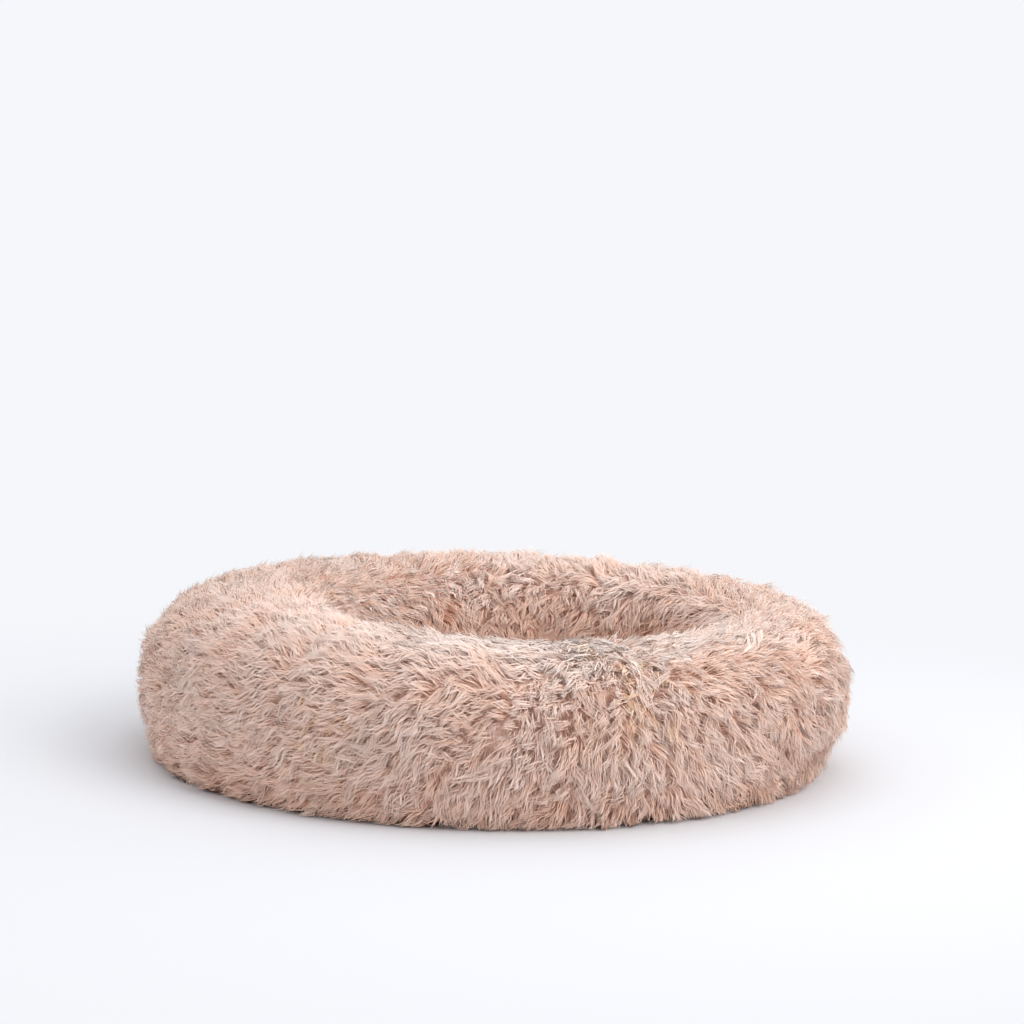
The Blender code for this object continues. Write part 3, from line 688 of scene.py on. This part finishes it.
def pile_tree():
    tree, given = new_tree("long pile", "Skin", PILE_SIZES, "Pile")
    place = make_node(tree, "GeometryNodeInputPosition")["Position"]
    centres = tuft_centres(tree, given, place)
    strands = strand_roots(tree, given, place, centres)
    bodies = keep(centres, "girth", given["Tuft girth"] * (0.75 + attribute(tree, "luck_a") * 0.5))
    bodies = keep(bodies, "stretch", 0.92)
    bodies = keep(bodies, "height", 0.72)
    shapes = ((bodies, TUFT_SIDES, TUFT_SEGMENTS), (strands, STRAND_SIDES, STRAND_SEGMENTS))
    copies = []
    for points, sides, segments in shapes:
        lock = straight_lock(tree, place, sides, segments)
        copies.append(geometry_node(tree, "InstanceOnPoints", Points=points, Instance=lock))
    locks = geometry_node(tree, "RealizeInstances", Geometry=joined_geometry(tree, copies))
    bent, normal = bent_place(tree, given)
    locks = keep(locks, "soft_normal", normal, VECTOR)
    locks = geometry_node(tree, "SetPosition", Geometry=locks, Position=bent)
    whole = geometry_node(tree, "SetShadeSmooth", Geometry=tinted(tree, locks, given["Skin"]))
    normal = attribute(tree, "soft_normal", VECTOR)
    free = {"mode": "FREE", "domain": "POINT"}
    whole = geometry_node(tree, "SetMeshNormal", free, Mesh=whole, Custom_Normal=normal)
    whole = geometry_node(tree, "SetMaterial", Geometry=whole, Material=given["Finish"])
    make_node(tree, "NodeGroupOutput", None, {"Pile": whole})
    return tree


long_pile = pile_tree()
print("nodes in the pile's tree:", len(long_pile.nodes))

# %% [markdown]
# ## The colour of the pile
#
# A lock is darker at its root and pale at its tip. The darker root is partly painted shade, where
# light hardly reaches, and partly denser dye. Neighbouring clumps differ a little. So the colour is
# a rule of two numbers that every point of a lock carries: how far along the lock it is, and its
# tone. The tone also carries painted shade down the nest's inner wall, at the ring's foot and on
# each lock's underside, and painted light on each lock's upper side and over the top of the ring,
# most on the front crest. Every other finish of the bed lies between two colours, by a rule of the
# place in space, so none of them needs unwrapping.

# %% The pile's material
# Each ramp runs from root to tip. The darker root is partly painted shade and partly denser dye.
DARK_LOCK = [(0.0, (0.90, 0.475, 0.335)), (1.0, (0.98, 0.71, 0.585)), (0.5, (0.95, 0.605, 0.455))]
LIGHT_LOCK = [(0.0, (0.93, 0.665, 0.55)), (1.0, (0.97, 0.885, 0.84)), (0.5, (0.965, 0.78, 0.69))]
GOLDEN = (0.98, 0.86, 0.62)


def new_finish(name, roughness, metallic=0.0, constants=None):
    finish = bpy.data.materials.new(name)
    finish.use_nodes = True
    shader = finish.node_tree.nodes["Principled BSDF"]
    for key, value in {"Roughness": roughness, "Metallic": metallic, **(constants or {})}.items():
        shader.inputs[key].default_value = value
    return finish, finish.node_tree, shader


def lead(wire, shader, name):
    wire.tree.links.new(wire.socket, shader.inputs[name])


def mixed(tree, share, first, second, blend="MIX"):
    settings = {"data_type": "RGBA", "blend_type": blend}
    values = {"Factor": share, "A": first, "B": second}
    return make_node(tree, "ShaderNodeMix", settings, values)["Result"]


def pile_finish():
    finish, tree, shader = new_finish("plush pile", 0.9, 0.0, {"Specular IOR Level": 0.0})
    t, tone, gold = (
        make_node(tree, "ShaderNodeAttribute", {"attribute_name": name})["Fac"]
        for name in ("t", "lock_tone", "lock_gold")
    )
    dark, light = (
        make_node(tree, "ShaderNodeValToRGB", {"stops": stops}, {0: t})["Color"]
        for stops in (DARK_LOCK, LIGHT_LOCK)
    )
    colour = mixed(tree, tone, dark, light)
    lead(mixed(tree, gold * 0.5, colour, GOLDEN, "MULTIPLY"), shader, "Base Color")
    return finish


PLUSH = pile_finish()
print("finish:", PLUSH.name)


# %% Finishes between two colours
def noise(place, scale, detail=4.0):
    values = {"Vector": place, "Scale": scale, "Detail": detail}
    return make_node(place.tree, "ShaderNodeTexNoise", None, values)["Fac"]


def two_tone(name, rule, colours, roughness, relief=(0, 0), metallic=0.0, **constants):
    """A finish by a rule that gives a place's share of the lighter colour, its height and roughness."""
    named = {key.replace("_", " "): value for key, value in constants.items()}
    finish, tree, shader = new_finish(name, roughness, metallic, named)
    place = make_node(tree, "ShaderNodeTexCoord")["Object"]
    share, *more = rule(place)
    lead(mixed(tree, share, *colours), shader, "Base Color")
    if more:
        values = {"Strength": relief[0], "Distance": relief[1], "Height": more[0]}
        lead(make_node(tree, "ShaderNodeBump", None, values)["Normal"], shader, "Normal")
    if len(more) > 1:
        lead(more[1], shader, "Roughness")
    return finish


# %% [markdown]
# ## Dress the six panels
#
# Each panel's skin is given a little thickness, the tree grows the locks on its outside, and the
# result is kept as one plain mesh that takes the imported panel's place.

# %% Grow the panels
KEPT_VALUES = {"t", "lock_tone", "lock_gold", "OFBake", "custom_normal"}
KEPT_VALUES |= {"material_index", "sharp_face", "sharp_edge"}
PANEL_SEED, NEST_SEED = 100.0, 140.0


def by_nodes(name, mesh, tree, thickness=0.0, **sizes):
    """Runs a tree on a guide mesh and returns the result as a plain mesh object."""
    guide = linked(name + "_guide", mesh)
    if thickness:
        shell = guide.modifiers.new("backing", "SOLIDIFY")
        shell.thickness = thickness
        shell.offset = -1
    maker = guide.modifiers.new("maker", "NODES")
    maker.node_group = tree
    for socket in tree.interface.items_tree:
        size = socket.name.replace(" ", "_")
        if size in sizes:
            maker[socket.identifier] = sizes[size]
    guide.update_tag()
    bpy.context.view_layer.update()
    graph = bpy.context.evaluated_depsgraph_get()
    made = guide.evaluated_get(graph)
    plain = bpy.data.meshes.new_from_object(made, preserve_all_data_layers=True, depsgraph=graph)
    bpy.data.objects.remove(guide)
    print(name, "triangles:", sum(len(face.vertices) - 2 for face in plain.polygons))
    return linked(name, plain)


def padded_piece(piece, node):
    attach(piece, "bed")
    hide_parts(node)


def grown(name, mesh, node, slot, fill, **sizes):
    """Grows a skin's pile, as a piece that takes the place of a packed one."""
    piece = by_nodes(name, mesh, long_pile, SKIN_THICKNESS, Finish=PLUSH, **sizes)
    values = piece.data.attributes
    for spare in [a.name for a in values if not a.is_internal and not a.is_required]:
        if spare not in KEPT_VALUES:
            values.remove(values[spare])
    padded_piece(piece, node)


PANELS = ("front", "front_right", "rear_right", "rear", "rear_left", "front_left")
for number, side in enumerate(PANELS):
    node = "plush_" + side
    skin = panel_skin(node + "_skin", SEAM_ANGLES[number], SEAM_ANGLES[number + 1])
    grown(node + "_pile", skin, node, "plush", 0.7, Seed=PANEL_SEED + number)

# %% [markdown]
# ## The floor of the nest
#
# The nest is closed by a round panel of the same fur. Its pile is trodden: it lies lower and
# swirls. The round skin comes from a square grid that is drawn out to a circle, because a fan of
# faces round one point would bunch the tufts there.

# %% A round skin for the nest, and its pile
NEST_GRID = 44
NEST_SKIN_RAISE = 0.0035
NEST_EDGE_OVERREACH = 0.006


def nest_rise(radius, whole):
    """How far the nest's middle stands above its edge, at this radius of the whole one."""
    return NEST_CROWN * np.cos(np.minimum(radius / whole, 1) * math.pi / 2) ** 2


def nest_skin():
    radius = WELL_RADIUS + NEST_EDGE_OVERREACH
    across, along = even_grid(-1, 1, NEST_GRID, NEST_GRID)
    x = across * np.sqrt(1 - along**2 / 2) * radius
    y = along * np.sqrt(1 - across**2 / 2) * radius
    height = NEST_SEAM_HEIGHT + NEST_SKIN_RAISE + nest_rise(np.hypot(x, y), radius)
    points = np.stack([x + WELL_SHIFT, y, height], axis=1)
    angle = 2.6 * slow_noise(points, 0.12, 2) + 0.9 * slow_noise(points, 0.04, 3)
    none, full = 0 * x, np.ones(len(points))
    facts = {
        "comb": np.stack([np.cos(angle), np.sin(angle), none], axis=1) * 0.95,
        "up": np.stack([none, none, full], axis=1),
        "reach": 0.0150 + 0.0025 * slow_noise(points, 0.05, 4),
        "lift": 0.0085 + 0.0015 * slow_noise(points, 0.035, 5),
        "mess": 0.5 * full,
        "cover": full,
        "tone": 0.50 + 0.07 * slow_noise(points, 0.06, 6),
        "gold": none,
        "floor": none,
    }
    return grid_mesh("nest_skin", points, NEST_GRID, NEST_GRID, facts)


nest_sizes = {"Strands_per_area": 172000.0, "Strand_girth": 0.00062, "Seed": NEST_SEED}
grown("nest_floor_pile", nest_skin(), "nest_floor_plush", "nest_plush", 0.6, **nest_sizes)

# %% [markdown]
# ## Inside the cover
#
# A cover that zips off holds two inserts: a ring and a flat round cushion, each a thin non-woven
# lining stuffed with hollow fibre. They are out of sight until the cover is opened. Each lining
# could be a tube along a circle, but the ring isn't round in section, so it is laid on the same
# section rule as the pile, only further in. The fibre inside is the same form with a lumpy surface.
# The lining is a felt of fine fibres, and the hollow fibre is matt white with soft lumps.

# %% Closed forms for linings and fibre
LINING_INSET = 0.0158
LINING_WALL = 0.0014
FIBRE_GAP = 0.0010
FIBRE_DEPTH = LINING_WALL + FIBRE_GAP
LUMP_DEPTH = 0.0015
INSERT_POWER = 2.1
RING_ANGLES = np.linspace(0, math.tau, 144, endpoint=False)
ARC_ROWS = 28
SPLIT_TURN = 0.004
print("ring columns:", len(RING_ANGLES))


def facing_out(shape, mesh):
    """Turns every face of a bmesh outwards and writes it into a mesh."""
    bmesh.ops.recalc_face_normals(shape, faces=shape.faces[:])
    shape.to_mesh(mesh)
    shape.free()
    return mesh


def closed_ring(name, outlines):
    """A closed ring through outlines that all have as many points, one for each angle round the bed."""
    rings, count = len(outlines), len(outlines[0])
    first = np.arange(rings * count)
    ring, place = first // count, first % count
    after, onward = (place + 1) % count, (ring + 1) % rings * count
    quads = np.stack([first, ring * count + after, onward + after, onward + place], axis=1)
    mesh = bpy.data.meshes.new(name)
    mesh.from_pydata(np.concatenate(outlines).tolist(), [], quads.tolist())
    shape = bmesh.new()
    shape.from_mesh(mesh)
    bmesh.ops.remove_doubles(shape, verts=shape.verts, dist=1e-6)
    stray = [edge for edge in shape.edges if not edge.link_faces]
    bmesh.ops.delete(shape, geom=stray, context="EDGES")
    return facing_out(shape, mesh)


def new_piece(name, mesh, finish, smooth=True):
    mesh.materials.append(finish)
    for face in mesh.polygons:
        face.use_smooth = smooth
    return linked(name, mesh)


def on_ring(theta, turns, inset):
    radius, height = section(np.full(len(turns), theta), turns, inset, INSERT_POWER)
    return np.stack([radius * math.sin(theta), -radius * math.cos(theta), height], axis=1)


def lining_outlines(turns):
    """At each angle round the bed, points along the outside and back along the inside of a lining."""
    insets = LINING_INSET, LINING_INSET + LINING_WALL
    found = []
    for theta in RING_ANGLES:
        outside, inside = (on_ring(theta, turns, inset) for inset in insets)
        found.append(np.concatenate([outside, inside[::-1]]))
    return found


def fibre_outlines(turns):
    inset = LINING_INSET + LINING_WALL + FIBRE_GAP
    found = []
    for theta in RING_ANGLES:
        lumps = 0.5 + 0.5 * slow_noise(on_ring(theta, turns, inset), 0.03, 2)
        found.append(on_ring(theta, turns, inset + np.maximum(LUMP_DEPTH * lumps, 0)))
    return found


# %% The inserts' finishes, and the ring's insert
def felt_rule(place):
    felt = noise(place, 420.0)
    return felt * 0.5 + noise(place, 26.0, 2.0) * 0.5, felt


def wadding_rule(place):
    wisps, lumps = noise(place, 180.0, 6.0), noise(place, 30.0, 2.0)
    return wisps * 0.6 + lumps * 0.4, wisps + lumps * 2.0


FELT_COLOURS = (0.70, 0.68, 0.64), (0.88, 0.86, 0.83)
FIBRE_COLOURS = (0.80, 0.80, 0.80), (0.96, 0.96, 0.95)
LINING = two_tone("non-woven lining", felt_rule, FELT_COLOURS, 0.9, (0.5, 0.0006), Specular_IOR_Level=0.2)
FIBRE = two_tone("hollow fibre", wadding_rule, FIBRE_COLOURS, 0.95, (0.7, 0.0015), Sheen_Weight=0.2)


def insert(name, outlines, finish, node):
    padded_piece(new_piece(name, closed_ring(name, outlines), finish), node)


upper = np.linspace(SPLIT_TURN, math.pi - SPLIT_TURN, ARC_ROWS)
for name, node, turns in (
    ("ring_lining_top", "bolster_lining_upper", upper),
    ("ring_lining_bottom", "bolster_lining_lower", -upper),
):
    insert(name, lining_outlines(turns), LINING, node)
whole_turns = np.linspace(0, math.tau, 2 * ARC_ROWS, endpoint=False)
insert("ring_fibre", fibre_outlines(whole_turns), FIBRE, "bolster_fibre_fill")
print("ring insert made")

# %% The cushion's insert
SPLIT_GAP = 0.0003
PAD_TOP = NEST_SEAM_HEIGHT - SPLIT_GAP
PAD_RADIUS = WELL_RADIUS + 0.010
PAD_CORNER = 0.009


def arc(radius, height, size, angles):
    return [(radius + size * math.cos(a), height + size * math.sin(a)) for a in angles]


def pad_outline(depth):
    """Half the section of the pad, this deep in it: its top from the middle to the rim, and its foot."""
    low, high, corner = RING_FLOOR + depth, PAD_TOP - depth, PAD_CORNER - depth
    flat = PAD_RADIUS - depth - corner
    top = [(r, high + nest_rise(r, WELL_RADIUS)) for r in np.linspace(0, flat, 14)]
    turns = np.linspace(math.pi / 2, 0, 8)[1:]
    foot = [(r, low) for r in np.linspace(flat, 0, 14)]
    rim = arc(flat, high - corner, corner, turns)
    return top + rim, arc(flat, low + corner, corner, -turns[::-1]) + foot


def turned(profile, middle, steps):
    """A profile turned about an upright axis. Its ends close on the axis or on each other."""
    found = []
    for theta in np.linspace(0, math.tau, steps, endpoint=False):
        spokes = [(middle + r * math.sin(theta), -r * math.cos(theta), z) for r, z in profile]
        found.append(np.array(spokes))
    return found


halves = zip(pad_outline(0), pad_outline(LINING_WALL))
for side, (outside, inside) in zip(("top", "bottom"), halves):
    outlines = turned(outside + inside[::-1], WELL_SHIFT, 96)
    insert(f"pad_lining_{side}", outlines, LINING, f"cushion_lining_{side}")
top, foot = pad_outline(FIBRE_DEPTH)
outlines = turned(top + foot, WELL_SHIFT, 96)
insert("pad_fibre", outlines, FIBRE, "cushion_fibre_fill")
print("cushion insert made")

# %% [markdown]
# ## The base cloth
#
# Under the bed is one round of dense cloth with small rubber dots that keep it from sliding. The
# cloth is a thin disc, its edge turned in and stitched all round. The dots stand on a pattern of
# triangles. Both repeat, so Geometry Nodes place them: dots on a grid that is cut to the circle,
# stitches along a circle.

# %% Cloth with a turned edge
BASE_CLOTH_LOW = 0.0007
BASE_CLOTH_TOP = 0.0020
CLOTH_RADIUS = BASE_RADIUS - 0.0004
WEAVE_PITCH = 0.0016
WEAVE_COLOURS = (0.085, 0.055, 0.040), (0.21, 0.15, 0.115)


def cloth_profile():
    """Half the section of the cloth, from the middle of its top round the turned edge to its foot."""
    middle = (BASE_CLOTH_LOW + BASE_CLOTH_TOP) / 2
    half = (BASE_CLOTH_TOP - BASE_CLOTH_LOW) / 2
    top = [(CLOTH_RADIUS * share, middle + half * 0.55) for share in (0.0, 0.25, 0.5, 0.75, 0.93)]
    top += [(CLOTH_RADIUS * share, middle + half) for share in (0.955, 0.985)]
    edge = arc(CLOTH_RADIUS - half, middle, half, np.linspace(math.pi / 2, -math.pi / 2, 7))
    return top + edge + [(r, 2 * middle - z) for r, z in top[::-1]]


def weave_rule(place):
    """Plain weave: warp and weft ribs that pass over each other, with a little fuzz and wear."""
    x, y, z = place.parts()
    warp, weft = ((way * (math.tau / WEAVE_PITCH)).math("SINE") for way in (x, y + z))
    over = (warp * weft + 1.0) * 0.5
    fuzz, worn = noise(place, 900.0, 3.0), noise(place, 18.0, 3.0)
    return over * 0.45 + fuzz * 0.25 + worn * 0.30, over + fuzz * 0.5


relief = (0.6, WEAVE_PITCH / 4)
WEAVE = two_tone("base weave", weave_rule, WEAVE_COLOURS, 0.85, relief, Specular_IOR_Level=0.25)
base = new_piece("base_cloth", closed_ring("base_cloth", turned(cloth_profile(), 0, 160)), WEAVE)
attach(base, "bed")
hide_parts("base_panel")
print("base cloth radius:", round(CLOTH_RADIUS, 4))

# %% [markdown]
# ### Grip dots and stitches
#
# A dot is a low dome of soft rubber. A stitch is a short bead of thread, sunk a little at its ends.

# %% Trees for dots and stitches
DOT_SIZES = {"Dot radius": 0.0016, "Dot height": 0.0007, "Reach": 0.25}
STITCH_SIZES = {"Pitch": 0.0032, "Thread": 0.00035, "Stitch share": 0.36}


def balls(tree, given, result, points, segments, size, **more):
    """Ends a tree with a smooth ball of this size on every point, all as one mesh."""
    ball = geometry_node(tree, "MeshUVSphere", Segments=segments, Rings=4, Radius=1.0)
    size = joined_vector(tree, *size)
    made = geometry_node(tree, "InstanceOnPoints", Points=points, Instance=ball, Scale=size, **more)
    made = geometry_node(tree, "RealizeInstances", Geometry=made)
    made = geometry_node(tree, "SetShadeSmooth", Geometry=made)
    made = geometry_node(tree, "SetMaterial", Geometry=made, Material=given["Finish"])
    make_node(tree, "NodeGroupOutput", None, {result: made})
    return tree


def dots_tree():
    tree, given = new_tree("grip dots", "Ground", DOT_SIZES, "Dots")
    x, y, _ = make_node(tree, "GeometryNodeInputPosition")["Position"].parts()
    away = (x * x + y * y).math("SQRT").math("GREATER_THAN", given["Reach"])
    cut = {"Geometry": given["Ground"], "Selection": away}
    points = geometry_node(tree, "DeleteGeometry", {"domain": "POINT"}, **cut)
    size = given["Dot radius"], given["Dot radius"], given["Dot height"]
    return balls(tree, given, "Dots", points, 8, size)


def stitches_tree():
    tree, given = new_tree("stitches", "Seam", STITCH_SIZES, "Stitches")
    cut = {"Curve": geometry_node(tree, "MeshToCurve", Mesh=given["Seam"]), "Length": given["Pitch"]}
    made = make_node(tree, "GeometryNodeCurveToPoints", {"mode": "LENGTH"}, cut)
    size = given["Thread"], given["Thread"], given["Pitch"] * given["Stitch share"]
    return balls(tree, given, "Stitches", made["Points"], 6, size, Rotation=made["Rotation"])


GRIP_DOTS, STITCHES = dots_tree(), stitches_tree()
print("nodes for dots and for stitches:", len(GRIP_DOTS.nodes), len(STITCHES.nodes))


# %% Rubber and thread, and the base's details
DOT_SPACING = 0.018
DOT_HEIGHT = 0.0007
HEM_STITCH_INSET = 0.009
RUBBER_COLOURS = (0.030, 0.022, 0.018), (0.060, 0.046, 0.038)
THREAD_COLOURS = (0.10, 0.065, 0.045), (0.24, 0.17, 0.13)


def rubber_rule(place):
    grain = noise(place, 700.0)
    return grain, grain


def thread_rule(place):
    x, y, z = place.parts()
    return [((x + y * 0.7 + z * 1.3) * 9000.0).math("SINE") * 0.5 + 0.5]


def dot_places():
    step = DOT_SPACING * math.sqrt(3) / 2
    found = []
    for row in range(int(2 * BASE_RADIUS / step)):
        for column in range(int(2 * BASE_RADIUS / DOT_SPACING) + 1):
            x = (column + (row % 2) / 2) * DOT_SPACING - BASE_RADIUS
            found.append((x, row * step - BASE_RADIUS, DOT_HEIGHT))
    return found


def line_mesh(name, points, edges=()):
    mesh = bpy.data.meshes.new(name)
    mesh.from_pydata(points, edges, [])
    return mesh


def circle_line(name, radius, height, first=0.0, last=math.tau, count=240):
    closed = last - first >= math.tau
    angles = np.linspace(first, last, count, endpoint=not closed)
    points = [(radius * math.sin(a), -radius * math.cos(a), height) for a in angles]
    return line_mesh(name, points, [(n, (n + 1) % count) for n in range(count if closed else count - 1)])


def sewn_on(name, mesh, tree, slot, **sizes):
    """Small details by a tree, which ride on the bed with the cloth they belong to."""
    piece = by_nodes(name, mesh, tree, **sizes)
    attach(piece, "bed")
    return piece


RUBBER = two_tone("grip rubber", rubber_rule, RUBBER_COLOURS, 0.6, (0.3, 0.0002))
THREAD = two_tone("brown thread", thread_rule, THREAD_COLOURS, 0.7)
ground = line_mesh("dot places", dot_places())
dots = sewn_on("base_grip_dots", ground, GRIP_DOTS, "base_cloth", Finish=RUBBER, Dot_height=DOT_HEIGHT)
hem_line = circle_line("hem line", BASE_RADIUS - HEM_STITCH_INSET, BASE_CLOTH_LOW)
hem = sewn_on("base_hem_stitches", hem_line, STITCHES, "base_cloth", Finish=THREAD)

# %% [markdown]
# ## The zip
#
# The cover opens at the back with a zip just above the base. Its teeth, stops, slider and pull are
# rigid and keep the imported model's shapes; they only get a better finish. The two tapes are cloth:
# each is a thin woven strip with a corded edge, sewn to the cover with a line of stitches.

# %% Tapes
ZIP_RADIUS = 0.27625
ZIP_HEIGHT = 0.0133
ZIP_HALF_WIDTH = 0.011
TAPE_WIDTH = 0.0065
TAPE_THICKNESS = 0.0009
TAPE_HALF_ANGLE = 1.6508 / 2
TAPE_END_ANGLE = 0.022 / ZIP_RADIUS
TAPE_COLUMNS = 260
TWILL_PITCH = 0.0008
TWILL_COLOURS = (0.135, 0.085, 0.062), (0.27, 0.19, 0.15)


def tape_outline(theta, side):
    """The closed outline of a tape. Past the teeth its inner edge widens to the middle."""
    from_end = TAPE_HALF_ANGLE - abs(theta - math.pi)
    inner = ZIP_HEIGHT + side * (ZIP_HALF_WIDTH - TAPE_WIDTH)
    edge = ZIP_HEIGHT + side * SPLIT_GAP / 2 if from_end < TAPE_END_ANGLE * 0.96 else inner
    outer = ZIP_HEIGHT + side * (ZIP_HALF_WIDTH - 0.0001)
    thin, cord = TAPE_THICKNESS / 2 * 0.6, TAPE_THICKNESS / 2 * 0.9
    corded = [(thin, 0.86), (cord, 0.92), (thin, 1)]
    shape = [(-thin, 0), (thin, 0), *corded, *((-out, share) for out, share in corded[::-1])]
    return [(ZIP_RADIUS + out, edge + (outer - edge) * share) for out, share in shape]


def tape_strip(name, side):
    """One tape as a closed strip round the back."""
    shape = bmesh.new()
    rings = []
    for theta in np.linspace(math.pi - TAPE_HALF_ANGLE, math.pi + TAPE_HALF_ANGLE, TAPE_COLUMNS):
        places = [(r * math.sin(theta), -r * math.cos(theta), z) for r, z in tape_outline(theta, side)]
        rings.append([shape.verts.new(place) for place in places])
    for first, second in zip(rings, rings[1:]):
        for place in range(len(first)):
            shape.faces.new((first[place - 1], first[place], second[place], second[place - 1]))
    shape.faces.new(rings[0][::-1])
    shape.faces.new(rings[-1])
    return facing_out(shape, bpy.data.meshes.new(name))


def twill_rule(place):
    """A fine twill: slanted ribs along the strip."""
    x, y, z = place.parts()
    along = x.math("ARCTAN2", y) * ZIP_RADIUS + z * 0.8
    rib = (along * (math.tau / TWILL_PITCH)).math("SINE") * 0.5 + 0.5
    fuzz = noise(place, 1500.0, 2.0)
    return rib * 0.6 + fuzz * 0.4, rib + fuzz * 0.4


TWILL = two_tone("zip tape twill", twill_rule, TWILL_COLOURS, 0.8, (0.5, 0.0002), Specular_IOR_Level=0.25)
SEWN_FROM, SEWN_TO = math.pi - TAPE_HALF_ANGLE + 0.01, math.pi + TAPE_HALF_ANGLE - 0.01
SEWN_RADIUS = ZIP_RADIUS + TAPE_THICKNESS * 0.3
TAPE_STITCH = {"Finish": THREAD, "Pitch": 0.0028, "Thread": 0.00025}
for side, word in ((1, "upper"), (-1, "lower")):
    name = f"zip_tape_{word}_cloth"
    tape = new_piece(name, tape_strip(name, side), TWILL, smooth=False)
    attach(tape, "bed")
    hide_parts(f"zip_tape_{word}")
    height = ZIP_HEIGHT + side * ZIP_HALF_WIDTH * 0.78
    line = circle_line(f"tape line {word}", SEWN_RADIUS, height, SEWN_FROM, SEWN_TO)
    sewn_on(f"zip_tape_{word}_stitches", line, STITCHES, "zip_tape", **TAPE_STITCH)
print("tape length, metres:", round(2 * TAPE_HALF_ANGLE * ZIP_RADIUS, 3))

# %% [markdown]
# ### Plastic and metal
#
# The teeth are moulded plastic, satin brown, a little paler where the slider has rubbed them. The
# slider, the pull and the stops are die-cast metal with a dull nickel plate: cast grain in the
# hollows, and finer, brighter scratches where fingers touch.

# %% Finishes for the rigid pieces
PLASTIC_COLOURS = (0.125, 0.078, 0.055), (0.24, 0.165, 0.125)
NICKEL_COLOURS = (0.40, 0.385, 0.36), (0.66, 0.645, 0.62)


def moulded_rule(place):
    x, y, _ = place.parts()
    grain = noise(place, 1200.0, 3.0)
    rubbed = ramped((x * x + y * y).math("SQRT"), ZIP_RADIUS + 0.0008, ZIP_RADIUS + 0.0016)
    return rubbed * 0.6 + grain * 0.2, grain, grain * 0.25 + 0.32


def plated_rule(place):
    x, y, z = place.parts()
    cast = noise(place, 900.0, 5.0)
    scratches = noise(joined_vector(place.tree, x * 0.12, y * 0.12, z), 5200.0, 2.0)
    return cast * 0.7 + scratches * 0.3, cast + scratches * 0.4, cast * 0.22 + scratches * 0.16 + 0.18


relief = (0.25, 0.0001)
MOULDED = two_tone("moulded teeth", moulded_rule, PLASTIC_COLOURS, 0.42, relief, Specular_IOR_Level=0.45)
PLATED = two_tone("dull nickel plate", plated_rule, NICKEL_COLOURS, 0.35, (0.3, 0.00012), 1.0)
TEETH = ("teeth_upper", "teeth_lower")
METAL = ("top_stop_upper", "top_stop_lower", "bottom_stop", "slider", "pull")
RIGID = dict.fromkeys(TEETH, MOULDED) | dict.fromkeys(METAL, PLATED)
for word, finish in RIGID.items():
    for slot in bpy.data.objects["zip_" + word].material_slots:
        slot.material = finish
print("rigid nodes finished:", len(RIGID))

# %% [markdown]
# ## The studio
#
# A pale floor that runs out of sight, a broad soft light from the right and a little in front, and
# a weaker one overhead. A floor that is only lit shows a horizon, because its far parts are lit
# less than its near ones. So to the camera the floor turns, away from the bed, into the sky's own
# pale colour, while it stays a lit floor for every other ray and keeps the bed's shadow.

# %% Floor and sky
FLOOR_REACH = 60.0
FLOOR_COLOUR = (0.73, 0.74, 0.765)
SKY_LIGHT = (0.892, 0.897, 0.920)
SKY_LOOK = (0.915, 0.930, 0.965)
SHADOW_REACH = 0.36
BLEND_REACH = 0.90


def seen_by_eye(tree):
    """1 for what the camera sees, straight or in metal and glass, 0 for light on its way round."""
    rays = make_node(tree, "ShaderNodeLightPath")
    seen = rays["Is Camera Ray"].math("MAXIMUM", rays["Is Glossy Ray"])
    return seen.math("MAXIMUM", rays["Is Transmission Ray"])


def wide_floor():
    corners = [(-1, -1, 0), (1, -1, 0), (1, 1, 0), (-1, 1, 0)]
    mesh = bpy.data.meshes.new("floor")
    mesh.from_pydata([Vector(corner) * FLOOR_REACH for corner in corners], [], [(0, 1, 2, 3)])
    constants = {"Specular IOR Level": 0.2, "Base Color": (*FLOOR_COLOUR, 1)}
    finish, tree, shader = new_finish("pale floor", 0.9, 0.0, constants)
    x, y, _ = make_node(tree, "ShaderNodeTexCoord")["Object"].parts()
    away = ramped((x * x + y * y).math("SQRT"), SHADOW_REACH, BLEND_REACH)
    glow = make_node(tree, "ShaderNodeEmission", None, {"Color": SKY_LOOK, "Strength": 1.0})
    ends = {0: away * seen_by_eye(tree), 1: Wire(tree, shader.outputs["BSDF"]), 2: glow["Emission"]}
    both = make_node(tree, "ShaderNodeMixShader", None, ends)["Shader"]
    lead(both, tree.nodes["Material Output"], "Surface")
    mesh.materials.append(finish)
    linked("floor", mesh)


def even_sky():
    world = bpy.data.worlds.new("sky")
    world.use_nodes = True
    tree = world.node_tree
    background = tree.nodes["Background"]
    lead(mixed(tree, seen_by_eye(tree), SKY_LIGHT, SKY_LOOK), background, "Color")
    background.inputs["Strength"].default_value = 1.0
    bpy.context.scene.world = world


wide_floor()
even_sky()
print("floor reaches, metres:", FLOOR_REACH)

# %% Lamps
KEY = {"place": (1.75, -1.2, 1.75), "target": (0, 0, 0.05), "size": 1.6, "power": 31.5}
OVERHEAD = {"place": (0.2, 0.3, 2.3), "target": (0, 0, 0), "size": 2.0, "power": 12.0}


def soft_light(name, place, target, size, power, colour):
    data = bpy.data.lights.new(name, "AREA")
    data.energy, data.size, data.color = power, size, colour
    aim = (Vector(target) - Vector(place)).to_track_quat("-Z", "Y").to_matrix().to_4x4()
    linked(name, data).matrix_world = Matrix.Translation(place) @ aim


soft_light("key", colour=(1.0, 0.985, 0.97), **KEY)
soft_light("overhead", colour=(0.98, 0.99, 1.0), **OVERHEAD)
bpy.context.scene.view_settings.view_transform = "Standard"
print("lamps:", [lamp.name for lamp in bpy.data.lights])
